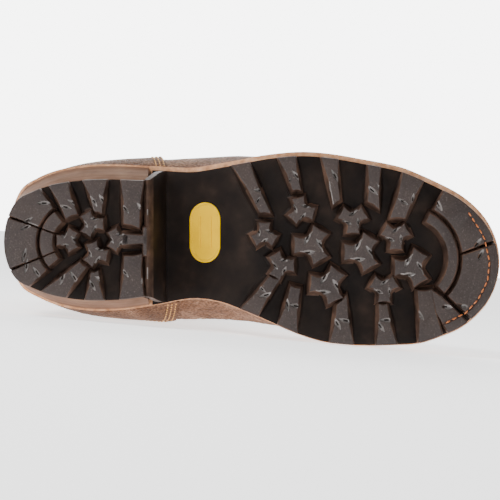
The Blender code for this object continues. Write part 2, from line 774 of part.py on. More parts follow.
def make_tongue(group):
    work = bmesh.new()
    under = -(UPPER_WALL + TONGUE_CLEARANCE)
    last = len(SECTIONS) - 1.0
    places = [THROAT_SECTION - 0.7 + (last - THROAT_SECTION + 0.7) * k / 11 for k in range(12)]
    rows = []
    across = 8
    for place in places:
        row = []
        widest = section(place, under)[3]
        share = smooth_step((place - THROAT_SECTION + 1.6) / 2.5)
        half = min(TONGUE_WIDTH / 2 * (0.55 + 0.45 * share), widest * 0.86)
        edge = pi - asin(half / widest)
        for k in range(across + 1):
            side = -1 if k < across / 2 else 1
            turn = edge + (pi - edge) * (1 - abs(2 * k / across - 1))
            row.append(arch_point(place, turn, side, under))
        rows.append(row)
    rows.append([point + Vector((-0.001, 0, TONGUE_RISE)) for point in rows[-1]])
    grid = [[work.verts.new(point) for point in row] for row in rows]
    for low, high in zip(grid, grid[1:]):
        for k in range(across):
            work.faces.new((low[k], low[k + 1], high[k + 1], high[k]))
    bmesh.ops.recalc_face_normals(work, faces=work.faces)
    if sum(face.normal.x for face in work.faces) < 0:
        bmesh.ops.reverse_faces(work, faces=work.faces)
    tongue = new_object("tongue", work, group, "leather")
    thicken(tongue, TONGUE_WALL, -1)


def make_insole(group):
    def inset(x):
        return upper_inset(x) + UPPER_WALL + INSOLE_MARGIN

    back, front = inset(0.0), SOLE_LENGTH - inset(SOLE_LENGTH)
    levels = []
    for rise in (GAP, GAP + INSOLE_THICKNESS):
        pairs = []
        for x in stations_between(back + JOINT_LAP, front - JOINT_LAP):
            lateral, medial = outline(x, inset(x))
            z = midsole_top(x) + rise
            pairs.append((Vector((x, lateral, z)), Vector((x, medial, z))))
        levels.append(pairs)
    new_object("insole", plate(levels), group, "lining")


def make_welt(group):
    # A strip on the midsole, from the shank round the toe and back, clear of the leather
    half = stations_between(WELT_BACK * SOLE_LENGTH, SOLE_LENGTH - GAP, GAP)
    path = [(x, 0) for x in half] + [(x, 1) for x in half[::-1]]
    work = bmesh.new()
    rows = []
    turn_start = SPRING_START * SOLE_LENGTH
    for x, edge in path:
        lateral, medial = outline(x, GAP)
        outer = Vector((x, (lateral, medial)[edge]))
        share = (x - half[0]) / (SOLE_LENGTH - half[0])
        margin = upper_inset(x) - WELT_CLEARANCE - WELT_CLEARANCE * (1 - smooth_step(share * 2.2))
        around = max(x - turn_start, 0.0) / (SOLE_LENGTH - turn_start)
        inner_x = x - margin * around
        inner = Vector((inner_x, outline(inner_x, margin)[edge]))
        row = []
        for corner, rise in ((outer, 0), (inner, 0), (inner, WELT_THICKNESS), (outer, WELT_THICKNESS)):
            row.append(work.verts.new((corner.x, corner.y, midsole_top(corner.x) + GAP + rise)))
        rows.append(row)
    for low, high in zip(rows, rows[1:]):
        for k in range(4):
            following = (k + 1) % 4
            work.faces.new((low[k], low[following], high[following], high[k]))
    work.faces.new(rows[0])
    work.faces.new(rows[-1])
    bmesh.ops.remove_doubles(work, verts=work.verts, dist=0.00002)
    bmesh.ops.dissolve_degenerate(work, edges=work.edges, dist=0.00001)
    bmesh.ops.recalc_face_normals(work, faces=work.faces)
    new_object("welt", work, group, "edge")


# Lacing

def eyelet_spots():
    # Place and outward direction of each eyelet, from the shell's own corners
    work, grid, places = upper_surface()
    spots = []
    for row, height in enumerate(eyelet_heights()):
        place = place_at_height(height)
        j = min(range(len(places)), key=lambda i: abs(places[i] - place))
        for side in (-1, 1):
            point = grid[side][j][EYELET_STEP]
            vertex = nearest_vertex(work, point)
            spots.append((row, side, point, vertex.normal.copy()))
    work.free()
    return spots


def make_eyelets(group, cutters, pieces):
    spots = eyelet_spots()
    hole = EYELET_BORE / 2 + EYELET_WALL + GAP
    holes = bmesh.new()
    for row, side, point, normal in spots:
        frame = Matrix.Translation(point) @ normal.to_track_quat("Z", "Y").to_matrix().to_4x4()
        bmesh.ops.create_cone(holes, cap_ends=True, segments=8, radius1=hole, radius2=hole,
                              depth=0.012, matrix=frame)
    for item in pieces:
        cutter = new_object("eyelet_holes", holes.copy(), cutters)
        boolean(item, cutter, "DIFFERENCE")
    holes.free()
    bore = EYELET_BORE / 2
    face = GAP + OVERLAY_WALL + GAP
    profile = [(bore + EYELET_FLANGE, face), (bore, face + EYELET_RIM), (bore, -UPPER_WALL),
               (bore + EYELET_WALL, -UPPER_WALL), (bore + EYELET_WALL, face)]
    work = bmesh.new()
    ring = [work.verts.new((radius, 0, z)) for radius, z in profile]
    edges = [work.edges.new((ring[k], ring[(k + 1) % len(ring)])) for k in range(len(ring))]
    bmesh.ops.spin(work, geom=ring + edges, cent=(0, 0, 0), axis=(0, 0, 1), angle=2 * pi, steps=8,
                   use_merge=True)
    bmesh.ops.remove_doubles(work, verts=work.verts, dist=WELD)
    bmesh.ops.recalc_face_normals(work, faces=work.faces)
    mesh = None
    for row, side, point, normal in spots:
        name = "eyelet_" + ("lateral_" if side < 0 else "medial_") + str(row + 1)
        if mesh is None:
            item = new_object(name, work, group, "brass")
            mesh = item.data
        else:
            item = bpy.data.objects.new(name, mesh)
            group.objects.link(item)
        item.rotation_mode = "QUATERNION"
        item.rotation_quaternion = normal.to_track_quat("Z", "Y")
        item.location = point


def lace_tube(name, points, group):
    curve = bpy.data.curves.new(name, "CURVE")
    curve.dimensions = "3D"
    curve.bevel_depth = LACE_DIAMETER / 2
    curve.bevel_resolution = 1
    curve.use_fill_caps = True
    line = curve.splines.new("POLY")
    line.points.add(len(points) - 1)
    for spot, point in zip(line.points, points):
        spot.co = (*point, 1.0)
    item = bpy.data.objects.new(name, curve)
    group.objects.link(item)
    graph = bpy.context.evaluated_depsgraph_get()
    work = bmesh.new()
    work.from_mesh(item.evaluated_get(graph).to_mesh())
    bpy.data.objects.remove(item)
    bpy.data.curves.remove(curve)
    bmesh.ops.remove_doubles(work, verts=work.verts, dist=0.00001)
    bmesh.ops.recalc_face_normals(work, faces=work.faces)
    return new_object(name, work, group, "lace")


def lace_route(place_a, place_b, lift_off, steps=4):
    # From the lateral eyelet at one place to the medial eyelet at the other, over the tongue
    points = []
    for k in range(steps + 1):
        share = k / steps
        place = place_a + (place_b - place_a) * share
        side = -1 if share <= 0.5 else 1
        edge = ring_point(place, EYELET_STEP / RING_STEPS, side, throat_half(place), lift_off)
        _, top, _, widest, _ = section(place, lift_off)
        half = abs(edge.y - top.y)
        turn = pi - asin(min(half / widest, 1.0)) * abs(2 * share - 1)
        points.append(arch_point(place, turn, side, lift_off))
    return points


def make_laces(group, cutters):
    places = [place_at_height(height) for height in eyelet_heights()]
    clear = GAP + OVERLAY_WALL + GAP + EYELET_RIM + GAP + LACE_DIAMETER / 2
    lace_tube("lace_bar", lace_route(places[0], places[0], clear), group)
    for k in range(len(places) - 1):
        name = "lace_cross_" + str(k + 1)
        rise = [place_a + (place_b - place_a) * 0.12
                for place_a, place_b in ((places[k], places[k + 1]), (places[k + 1], places[k]))]
        first = lace_tube(name, lace_route(rise[0], rise[1], clear), group)
        over = lace_route(rise[1], rise[0], clear + LACE_DIAMETER / 4)
        second = lace_tube(name + "_over", over, cutters)
        boolean(first, second, "UNION")


# Resting pose: the boot lies on the medial flat of its own hull under its centre of mass

def volume_and_centre(mesh, matrix):
    total, moment = 0.0, Vector((0, 0, 0))
    mesh.calc_loop_triangles()
    for triangle in mesh.loop_triangles:
        a, b, c = (matrix @ mesh.vertices[k].co for k in triangle.vertices)
        piece = a.dot(b.cross(c)) / 6
        total += piece
        moment += piece * (a + b + c) / 4
    return total, moment


def rest_matrix(items):
    hull = bmesh.new()
    mass, moment = 0.0, Vector((0, 0, 0))
    for item in items:
        weight = DENSITY[item.data.materials[0].name]
        volume, part = volume_and_centre(item.data, item.matrix_world)
        mass += volume * weight
        moment += part * weight
        for vertex in item.data.vertices:
            hull.verts.new(item.matrix_world @ vertex.co)
    centre = moment / mass
    bmesh.ops.convex_hull(hull, input=hull.verts)
    hull.normal_update()
    best, side = None, Vector((0, 1, 0))
    for face in hull.faces:
        if face.normal.dot(side) < 0.7:
            continue
        foot = centre + face.normal * (face.calc_center_median() - centre).dot(face.normal)
        corners = [vertex.co for vertex in face.verts]
        inside = all((corners[(k + 1) % 3] - corners[k]).cross(foot - corners[k]).dot(face.normal) > 0
                     for k in range(3))
        if inside and (best is None or face.normal.dot(side) > best.normal.dot(side)):
            best = face
    turn = Matrix(((1, 0, 0, 0), (0, 0, 1, 0), (0, -1, 0, 0), (0, 0, 0, 1)))
    down = (turn.to_3x3() @ best.normal).normalized()
    level_turn = down.rotation_difference(Vector((0, 0, -1))).to_matrix().to_4x4() @ turn
    hull.free()
    points = [level_turn @ item.matrix_world @ vertex.co for item in items for vertex in item.data.vertices]
    low = [min(point[axis] for point in points) for axis in range(3)]
    high = [max(point[axis] for point in points) for axis in range(3)]
    shift = Vector((-(low[0] + high[0]) / 2, -(low[1] + high[1]) / 2, -low[2]))
    return Matrix.Translation(shift) @ level_turn


def main():
    clear_scene()
    group = new_collection("logger_boot")
    cutters = new_collection("cutters")
    make_outsole(group, cutters)
    make_heel_stack(group)
    make_midsole(group)
    make_insole(group)
    shells = make_upper(group, cutters)
    make_welt(group)
    make_counter(group)
    stays = [make_eyestay(-1, "eyestay_lateral", group), make_eyestay(1, "eyestay_medial", group)]
    make_tongue(group)
    make_eyelets(group, cutters, shells[1:] + stays)
    make_laces(group, cutters)
    bpy.context.view_layer.update()
    pose = bpy.data.objects.new("lying_pose", None)
    group.objects.link(pose)
    items = [item for item in group.objects if item.type == "MESH"]
    pose.matrix_world = rest_matrix(items)
    for item in items:
        item.parent = pose
    bpy.context.view_layer.update()


main()
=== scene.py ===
# Logger boot, right foot, lying on its inner side with the tread to the camera
import bpy
import bmesh
import json
from math import acos, asin, atan2, cos, pi, radians, sin
from mathutils import Matrix, Vector
from mathutils.bvhtree import BVHTree


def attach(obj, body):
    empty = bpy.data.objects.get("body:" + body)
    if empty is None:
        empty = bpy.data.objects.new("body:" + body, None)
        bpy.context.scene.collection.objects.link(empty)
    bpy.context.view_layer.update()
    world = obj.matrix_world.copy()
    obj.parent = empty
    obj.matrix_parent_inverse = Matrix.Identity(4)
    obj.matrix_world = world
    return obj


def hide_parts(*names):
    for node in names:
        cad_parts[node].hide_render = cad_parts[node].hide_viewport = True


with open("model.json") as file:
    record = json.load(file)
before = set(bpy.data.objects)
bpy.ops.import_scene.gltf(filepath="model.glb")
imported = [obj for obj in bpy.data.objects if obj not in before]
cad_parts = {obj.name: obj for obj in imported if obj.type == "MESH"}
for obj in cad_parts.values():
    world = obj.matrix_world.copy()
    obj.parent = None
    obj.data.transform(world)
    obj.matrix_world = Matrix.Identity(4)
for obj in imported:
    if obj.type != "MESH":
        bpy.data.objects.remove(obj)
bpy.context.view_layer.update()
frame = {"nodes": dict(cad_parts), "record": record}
print("frame loaded,", len(frame["nodes"]), "parts")

# Sizes of the boot, in metres, as the frame has them
boot = {
    "length": 0.312, "ball": 0.122,
    "lug": 0.008, "base": 0.0045, "midsole": 0.0045, "lift": 0.012, "stack": 0.020,
    "spring": 0.014, "welt": 0.003, "weltMargin": 0.0065, "seatMargin": 0.002,
    "instep": 0.176, "shaft": 0.284, "wall": 0.0025, "throat": 0.030,
    "eyeletPitch": 0.022, "firstEyelet": 0.123, "eyeletPairs": 8, "lace": 0.0034,
    "heelFront": 0.292, "springStart": 0.753, "riseEnd": 0.551, "shankBreak": 0.308,
    "treadInset": 0.0019, "treadShift": 0.0011, "liftNarrow": 0.835, "liftShift": 0.0017,
}
length, ball = boot["length"], boot["ball"]

# Sole outline: place along the length, centre and half width as shares of the ball width
outlineRows = [
    (0.000, -0.033, 0.000), (0.022, -0.043, 0.240), (0.063, -0.045, 0.317), (0.104, -0.044, 0.357),
    (0.166, -0.044, 0.382), (0.228, -0.046, 0.382), (0.272, -0.050, 0.372), (0.310, -0.056, 0.362),
    (0.378, -0.066, 0.343), (0.432, -0.068, 0.359), (0.471, -0.059, 0.383), (0.525, -0.043, 0.423),
    (0.595, -0.013, 0.469), (0.655, 0.013, 0.485), (0.715, 0.032, 0.478), (0.795, 0.051, 0.456),
    (0.836, 0.067, 0.432), (0.876, 0.074, 0.393), (0.918, 0.080, 0.343), (0.959, 0.082, 0.258),
    (0.980, 0.083, 0.186), (1.000, 0.082, 0.000),
]
outlineTurns = [acos(1 - 2 * row[0]) for row in outlineRows]

# Upper: base along, base rise, top along, foot height, shaft height, half width, top centre, fullness
upperRows = [
    (0.979, 0.000, 0.978, 0.262, 0.000, 0.000, 0.082, 0.70),
    (0.968, 0.000, 0.960, 0.320, 0.000, 0.000, 0.082, 0.70),
    (0.949, 0.000, 0.938, 0.375, 0.000, 0.000, 0.082, 0.70),
    (0.917, 0.000, 0.900, 0.418, 0.000, 0.000, 0.078, 0.72),
    (0.865, 0.000, 0.840, 0.455, 0.000, 0.000, 0.066, 0.78),
    (0.801, 0.000, 0.763, 0.500, 0.000, 0.432, 0.050, 0.84),
    (0.721, 0.000, 0.683, 0.560, 0.000, 0.448, 0.034, 0.90),
    (0.635, 0.000, 0.609, 0.636, 0.000, 0.448, 0.020, 0.96),
    (0.551, 0.000, 0.574, 0.678, 0.000, 0.444, 0.008, 1.00),
    (0.468, 0.000, 0.542, 0.724, 0.000, 0.441, -0.002, 1.00),
    (0.378, 0.000, 0.516, 0.772, 0.000, 0.438, -0.010, 1.00),
    (0.288, 0.000, 0.495, 0.820, 0.000, 0.433, -0.016, 1.00),
    (0.199, 0.000, 0.478, 0.864, 0.000, 0.426, -0.020, 1.00),
    (0.115, 0.000, 0.465, 0.906, 0.000, 0.418, -0.022, 1.00),
    (0.051, 0.000, 0.455, 0.943, 0.000, 0.412, -0.024, 1.00),
    (0.018, 0.000, 0.448, 0.972, 0.000, 0.408, -0.024, 1.00),
    (0.0075, 0.006, 0.443, 1.000, 0.000, 0.404, -0.024, 1.00),
    (0.0015, 0.105, 0.437, 1.000, 0.111, 0.400, -0.022, 1.00),
    (0.008, 0.222, 0.433, 1.000, 0.250, 0.397, -0.020, 1.00),
    (0.024, 0.356, 0.431, 1.000, 0.389, 0.396, -0.018, 1.00),
    (0.029, 0.490, 0.430, 1.000, 0.537, 0.400, -0.016, 1.00),
    (0.021, 0.648, 0.431, 1.000, 0.694, 0.408, -0.014, 1.00),
    (0.008, 0.824, 0.435, 1.000, 0.852, 0.414, -0.012, 1.00),
    (0.000, 0.984, 0.439, 1.000, 1.000, 0.416, -0.012, 1.00),
]
lastRow = len(upperRows) - 1.0
throatRow = 7.0


def mountOf(name):
    return next(m for m in frame["record"]["mounts"] if m["name"] == name)


def shoeFrame():
    # The boot's own frame (toe, inner side, up from the tread) found from its two tread mounts
    heel = Vector(mountOf("heel_tread")["pos_m"])
    fore = Vector(mountOf("forefoot_tread")["pos_m"])
    up = -Vector(mountOf("heel_tread")["axis"]).normalized()
    heelAt = Vector((0.134 * length, -0.030 * ball, 0))
    foreAt = Vector((0.617 * length, -0.005 * ball, 0))
    lean = foreAt - heelAt
    along = (fore - heel).normalized()
    turn = Matrix.Rotation(-atan2(lean.y, lean.x), 3, up)
    toe = (turn @ along).normalized()
    inner = up.cross(toe).normalized()
    axes = Matrix((toe, inner, up)).transposed()
    return Matrix.Translation(heel - axes @ heelAt) @ axes.to_4x4()


toWorld = shoeFrame()

# Camera: square to the sole, as far off as the photo was taken, rolled so that the sole lies level
camera = {"distance": 1.10, "seen": 0.3085, "across": 0.1543, "down": 0.0025}


def makeCamera(c):
    bpy.ops.object.camera_add()
    cam = bpy.context.object
    cam.name = "camera"
    cam.data.lens = 36 * c["distance"] / c["seen"]
    cam.data.clip_start, cam.data.clip_end = 0.05, 20
    toe, inner, up = (toWorld.col[k].to_3d() for k in range(3))
    axes = Matrix((toe, -inner, -up)).transposed()
    spot = toWorld @ Vector((c["across"], c["down"], -c["distance"]))
    cam.matrix_world = Matrix.Translation(spot) @ axes.to_4x4()
    bpy.context.scene.camera = cam


makeCamera(camera)
print("camera set")


# Shapes of the last and the sole

def curveValue(rows, places, column, place):
    last = len(rows) - 1
    k = 0
    while k < last - 1 and place > places[k + 1]:
        k += 1
    a, b = places[k], places[k + 1]
    t = (place - a) / (b - a)

    def slope(i):
        lo, hi = max(i - 1, 0), min(i + 1, last)
        return (rows[hi][column] - rows[lo][column]) / (places[hi] - places[lo])

    start, end = rows[k][column], rows[k + 1][column]
    return (start * (1 + 2 * t) * (1 - t) ** 2 + end * t * t * (3 - 2 * t)
            + (b - a) * (slope(k) * t * (1 - t) ** 2 + slope(k + 1) * t * t * (t - 1)))


def smoothStep(value):
    t = min(max(value, 0.0), 1.0)
    return t * t * (3 - 2 * t)


def outline(x, inset=0.0, shift=0.0, narrow=1.0):
    share = min(max((x - inset) / (length - 2 * inset), 0.0), 1.0)
    turn = acos(1 - 2 * share)
    centre = curveValue(outlineRows, outlineTurns, 1, turn) * ball + shift
    half = max(curveValue(outlineRows, outlineTurns, 2, turn), 0.0) * ball
    half = narrow * (half - inset * min(1.0, half / (0.28 * ball)))
    return centre - half, centre + half


def rocker(x):
    start = boot["springStart"] * length
    return 0.0 if x <= start else boot["spring"] * ((x - start) / (length - start)) ** 2


def baseLine(x):
    low = rocker(x) + boot["lug"] + boot["base"]
    high = boot["lug"] + boot["lift"] + boot["stack"]
    start, end = boot["shankBreak"] * length, boot["riseEnd"] * length
    return low + (high - low) * smoothStep((end - x) / (end - start))


def treadTop(x):
    return baseLine(x) - boot["base"]


def midsoleTop(x):
    return baseLine(x) + boot["midsole"]


def treadEdges(x):
    if x < boot["heelFront"] * length:
        return outline(x, boot["treadInset"], boot["liftShift"], boot["liftNarrow"])
    return outline(x, boot["treadInset"], boot["treadShift"])


def upperInset(x):
    share = smoothStep((x / length - 0.28) / 0.22)
    return boot["seatMargin"] + (boot["weltMargin"] - boot["seatMargin"]) * share


rowPlaces = list(range(len(upperRows)))


def section(place, liftOff=0.0):
    value = [curveValue(upperRows, rowPlaces, column, place) for column in range(8)]
    baseX = value[0] * length
    topZ = value[3] * boot["instep"] + value[4] * (boot["shaft"] - boot["instep"])
    seat = midsoleTop(baseX) + 0.0005
    baseZ = seat + max(value[1], 0.0) * (boot["shaft"] - seat)
    lateral, medial = outline(baseX, upperInset(baseX))
    footHalf = (medial - lateral) / 2 if value[1] <= 0.0035 else 0.0
    widest = max(value[5] * ball, footHalf * 1.045)
    base = Vector((baseX, (medial + lateral) / 2, baseZ))
    top = Vector((value[2] * length, value[6] * ball, topZ))
    reach = (top - base).normalized()
    return base, top + reach * liftOff, footHalf, widest + liftOff, value[7]


def onRing(place, turnAt, side, liftOff=0.0):
    base, top, footHalf, widest, fullness = section(place, liftOff)
    start = asin(min(max(footHalf / max(widest, 1e-6), 0.0), 1.0) ** (1 / fullness))
    turn = turnAt(start, widest, fullness)
    along = (cos(start) - cos(turn)) / (cos(start) + 1)
    point = base.lerp(top, along)
    point.y += side * widest * max(sin(turn), 0.0) ** fullness
    return point


def upperPoint(place, share, side, liftOff=0.0):
    # share 0 is the feather line or the back seam, share 1 the edge of the throat
    gap = boot["throat"] / 2 * smoothStep((place - throatRow) / 2.0)
    base, top, footHalf, widest, fullness = section(place, liftOff)
    if widest < 0.0002 or place <= 0:
        return base.lerp(top, share)

    def turnAt(start, widest, fullness):
        stop = pi - asin(min(gap / widest, 1.0) ** (1 / fullness))
        return start + (stop - start) * share

    return onRing(place, turnAt, side, liftOff)


def placeAtHeight(height):
    low, high = 0.0, lastRow
    for _ in range(30):
        middle = (low + high) / 2
        low, high = (middle, high) if section(middle)[1].z < height else (low, middle)
    return (low + high) / 2


# Helpers for modelling

def deselectAll():
    if bpy.context.object and bpy.context.object.mode != "OBJECT":
        bpy.ops.object.mode_set(mode="OBJECT")
    bpy.ops.object.select_all(action="DESELECT")


def makeActive(piece):
    deselectAll()
    piece.select_set(True)
    bpy.context.view_layer.objects.active = piece


def applyModifier(piece, kind, **settings):
    makeActive(piece)
    step = piece.modifiers.new(kind.lower(), kind)
    for name, value in settings.items():
        setattr(step, name, value)
    bpy.ops.object.modifier_apply(modifier=step.name)


def edited(piece, step, **settings):
    # One step of edit mode on the whole mesh
    makeActive(piece)
    bpy.ops.object.mode_set(mode="EDIT")
    bpy.ops.mesh.select_all(action="SELECT")
    step(**settings)
    bpy.ops.object.mode_set(mode="OBJECT")


def tidyMesh(piece, distance=0.000002, fill=False):
    edited(piece, bpy.ops.mesh.remove_doubles, threshold=distance)
    if fill:
        edited(piece, bpy.ops.mesh.fill_holes, sides=0)
    edited(piece, bpy.ops.mesh.normals_make_consistent, inside=False)


def roundEdges(piece, width, angle=60):
    applyModifier(piece, "BEVEL", width=width, segments=2, limit_method="ANGLE", angle_limit=radians(angle))


def cutWith(piece, cutter, **settings):
    applyModifier(piece, "BOOLEAN", operation="DIFFERENCE", solver="EXACT", object=cutter, **settings)
    bpy.data.objects.remove(cutter)


def joined(name, parts):
    deselectAll()
    for part in parts:
        part.select_set(True)
    bpy.context.view_layer.objects.active = parts[0]
    if len(parts) > 1:
        bpy.ops.object.join()
    parts[0].name = name
    return parts[0]


def smoothed(piece, angle=35):
    makeActive(piece)
    bpy.ops.object.shade_smooth_by_angle(angle=radians(angle))


def finishPiece(piece, replaced=(), materials=()):
    piece.data.transform(toWorld)
    for vertex in piece.data.vertices:
        # what touches the floor lies pressed flat on it
        vertex.co.z = max(vertex.co.z, 0.0002)
    piece.data.update()
    for material in materials:
        piece.data.materials.append(material)
    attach(piece, "root")
    if replaced:
        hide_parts(*replaced)


def gridPiece(name, across, along, pointAt):
    # A grid bent over a surface: pointAt gives the place of (u, v), each from 0 to 1
    deselectAll()
    bpy.ops.mesh.primitive_grid_add(x_subdivisions=across, y_subdivisions=along, size=2)
    piece = bpy.context.object
    piece.name = name
    for vertex in piece.data.vertices:
        vertex.co = pointAt((vertex.co.x + 1) / 2, (vertex.co.y + 1) / 2)
    return piece


def layerPiece(name, stations, low, high, across=6, rim=0.0006):
    # A layer of the sole: low and high give the lateral edge, medial edge and height at a share of its run
    count = 2 * across + 2

    def pointAt(u, v):
        place = v * (len(stations) - 1)
        k = int(round(place))
        j = int(round(u * count)) % count
        if j <= across:
            x, lateral, medial, z = low(stations[k])
            return Vector((x, lateral + (medial - lateral) * j / across, z))
        x, lateral, medial, z = high(stations[k])
        return Vector((x, medial + (lateral - medial) * (j - across - 1) / across, z))

    piece = gridPiece(name, count, len(stations) - 1, pointAt)
    tidyMesh(piece, 0.000004, fill=True)
    if rim:
        roundEdges(piece, rim, 50)
    return piece


def outwardOf(corners):
    # The way out at each corner of a flat loop
    area = sum(a[0] * b[1] - b[0] * a[1] for a, b in zip(corners, corners[1:] + corners[:1]))
    ways = []
    for before, here, after in zip(corners[-1:] + corners[:-1], corners, corners[1:] + corners[:1]):
        first = (Vector(here) - Vector(before)).normalized()
        second = (Vector(after) - Vector(here)).normalized()
        way = Vector((first.y + second.y, -first.x - second.x)) * (1 if area > 0 else -1)
        ways.append(way.normalized())
    return ways


def onTread(point):
    inset = boot["treadInset"]
    if not inset < point.x < length - inset:
        return False
    lateral, medial = treadEdges(point.x)
    return lateral < point.y < medial


def keptOnTread(start, way, reach):
    # As far along a way as asked, but not past the edge of the tread
    if onTread(start + way * reach):
        return start + way * reach
    near, far = 0.0, reach
    for _ in range(24 if reach > 0.01 else 8):
        middle = (near + far) / 2
        near, far = (middle, far) if onTread(start + way * middle) else (near, middle)
    return start + way * near


def prismPiece(corners, foot, tip, profile):
    # A lug: its sides fall steeply from the tip's outline and sweep out into the floor
    ways = outwardOf(corners)
    rings = []
    for share, spread in profile:
        ring = [keptOnTread(Vector(corner), way, spread) for corner, way in zip(corners, ways)]
        rings.append([Vector((p.x, p.y, tip(c[0]) + (foot(c[0]) - tip(c[0])) * share))
                      for p, c in zip(ring, corners)])

    def lugPoint(u, v):
        return rings[int(round(v * (len(rings) - 1)))][int(round(u * len(corners))) % len(corners)]

    piece = gridPiece("lug", len(corners), len(rings) - 1, lugPoint)
    tidyMesh(piece, 0.000001, fill=True)
    return piece


def crowd(name, shape, spots):
    # Copies of one small shape, each with its own matrix, in one mesh
    work = bmesh.new()
    for spot in spots:
        first = len(work.verts)
        work.from_mesh(shape.data)
        work.verts.ensure_lookup_table()
        bmesh.ops.transform(work, matrix=spot, verts=work.verts[first:])
    mesh = bpy.data.meshes.new(name)
    work.to_mesh(mesh)
    work.free()
    piece = bpy.data.objects.new(name, mesh)
    bpy.context.collection.objects.link(piece)
    bpy.data.objects.remove(shape)
    return piece


def ballShape(segments, rings):
    # A ball of radius 1 bent from a grid, so that its points come in the same order each run
    def ballPoint(u, v):
        turn, rise = 2 * pi * u, pi * (v - 0.5)
        return Vector((cos(rise) * sin(turn), cos(rise) * cos(turn), sin(rise)))

    ball = gridPiece("ball", segments, rings, ballPoint)
    tidyMesh(ball, 0.00001)
    return ball


def turnedTo(spot, way, axis="Z", upright="Y"):
    # A place whose axis looks along a way
    return Matrix.Translation(spot) @ way.to_track_quat(axis, upright).to_matrix().to_4x4()


def stitchAt(spot, way, stitch, thread):
    return turnedTo(spot, way, "X", "Z") @ Matrix.Diagonal((stitch / 2, thread, thread, 1))


def ropePiece(name, line, radius, sides=10):
    # A round cord swept along a line of points, with closed ends
    deselectAll()
    normals = []
    up = Vector((0.6, 0.1, 0.8))
    for k in range(len(line)):
        ahead = (line[min(k + 1, len(line) - 1)] - line[max(k - 1, 0)]).normalized()
        up = (up - ahead * up.dot(ahead)).normalized()
        normals.append((ahead, up.copy()))

    def ropePoint(u, v):
        k = int(round(v * (len(line) - 1)))
        ahead, out = normals[k]
        turn = 2 * pi * u
        return line[k] + (out * cos(turn) + ahead.cross(out) * sin(turn)) * radius

    rope = gridPiece(name, sides, len(line) - 1, ropePoint)
    tidyMesh(rope, 0.00001, fill=True)
    smoothed(rope, 50)
    return rope


def smoothLine(points, steps=8):
    # A round line through all the points
    line = []
    last = len(points) - 1
    for k in range(last):
        p0, p1 = points[max(k - 1, 0)], points[k]
        p2, p3 = points[k + 1], points[min(k + 2, last)]
        for j in range(steps):
            t = j / steps
            line.append(0.5 * ((2 * p1) + (p2 - p0) * t + (2 * p0 - 5 * p1 + 4 * p2 - p3) * t * t
                               + (3 * p1 - p0 - 3 * p2 + p3) * t ** 3))
    return line + [points[-1]]


# Materials

def linear(code):
    parts = [int(code[k:k + 2], 16) / 255 for k in (1, 3, 5)]
    return tuple(c / 12.92 if c <= 0.04045 else ((c + 0.055) / 1.055) ** 2.4 for c in parts) + (1.0,)


def addNode(tree, kind, settings=(), links=()):
    # settings are socket or property values, links are (socket of this node, other node, its output)
    node = tree.nodes.new(kind)
    for name, value in dict(settings).items():
        if isinstance(name, int) or name in node.inputs:
            node.inputs[name].default_value = value
        else:
            setattr(node, name, value)
    for socket, other, output in links:
        tree.links.new(other.outputs[output], node.inputs[socket])
    return node


def newMaterial(name, settings):
    material = bpy.data.materials.new(name)
    material.use_nodes = True
    tree = material.node_tree
    shader = tree.nodes["Principled BSDF"]
    for socket, value in settings.items():
        shader.inputs[socket].default_value = value
    coords = addNode(tree, "ShaderNodeTexCoord")
    return material, tree, shader, coords


def colourRamp(tree, source, output, stops):
    ramp = addNode(tree, "ShaderNodeValToRGB", links=[(0, source, output)])
    while len(ramp.color_ramp.elements) < len(stops):
        ramp.color_ramp.elements.new(0.5)
    for element, (place, code) in zip(ramp.color_ramp.elements, stops):
        element.position = place
        element.color = linear(code)
    return ramp


def bump(tree, shader, source, output, strength, distance, before=None):
    links = [("Height", source, output)]
    if before:
        links.append(("Normal", before, "Normal"))
    node = addNode(tree, "ShaderNodeBump", {"Strength": strength, "Distance": distance}, links)
    tree.links.new(node.outputs["Normal"], shader.inputs["Normal"])
    return node


def rubberTip():
    # Moulded nitrile rubber, its tips buffed by handling: dull, with pale dust in the grain
    material, tree, shader, coords = newMaterial("rubber_moulded_tip", {"Roughness": 0.62, "IOR": 1.52,
                                                                        "Specular IOR Level": 0.35})
    dust = addNode(tree, "ShaderNodeTexNoise", {"Scale": 900.0, "Detail": 3.0, "Roughness": 0.6},
                   [("Vector", coords, "Object")])  # 1.1 mm specks
    haze = addNode(tree, "ShaderNodeTexNoise", {"Scale": 45.0, "Detail": 3.0}, [("Vector", coords, "Object")])
    grain = colourRamp(tree, dust, 0, [(0.36, "#2b2321"), (0.60, "#3a302e"), (0.74, "#675b56")])
    tone = colourRamp(tree, haze, 0, [(0.35, "#2f2623"), (0.65, "#41352f")])
    mix = addNode(tree, "ShaderNodeMix", {"data_type": "RGBA", "blend_type": "MIX", "Factor": 0.45},
                  [(6, grain, 0), (7, tone, 0)])
    tree.links.new(mix.outputs[2], shader.inputs["Base Color"])
    bump(tree, shader, dust, 0, 0.35, 0.0004)
    return material


def rubberWall():
    # The same rubber as it left the mould, between the lugs: smoother and brownish, and darker than the dusty
    # tips, partly as clean rubber and partly as painted shade in the grooves
    material, tree, shader, coords = newMaterial("rubber_moulded_wall_clean_and_shaded", {"Roughness": 0.55, "IOR": 1.52,
                                                                         "Specular IOR Level": 0.10})
    cloud = addNode(tree, "ShaderNodeTexNoise", {"Scale": 60.0, "Detail": 4.0}, [("Vector", coords, "Object")])
    tone = colourRamp(tree, cloud, 0, [(0.35, "#17110f"), (0.55, "#211915"), (0.75, "#31251f")])
    tree.links.new(tone.outputs[0], shader.inputs["Base Color"])
    fine = addNode(tree, "ShaderNodeTexNoise", {"Scale": 1400.0, "Detail": 2.0}, [("Vector", coords, "Object")])
    bump(tree, shader, fine, 0, 0.15, 0.0002)
    return material


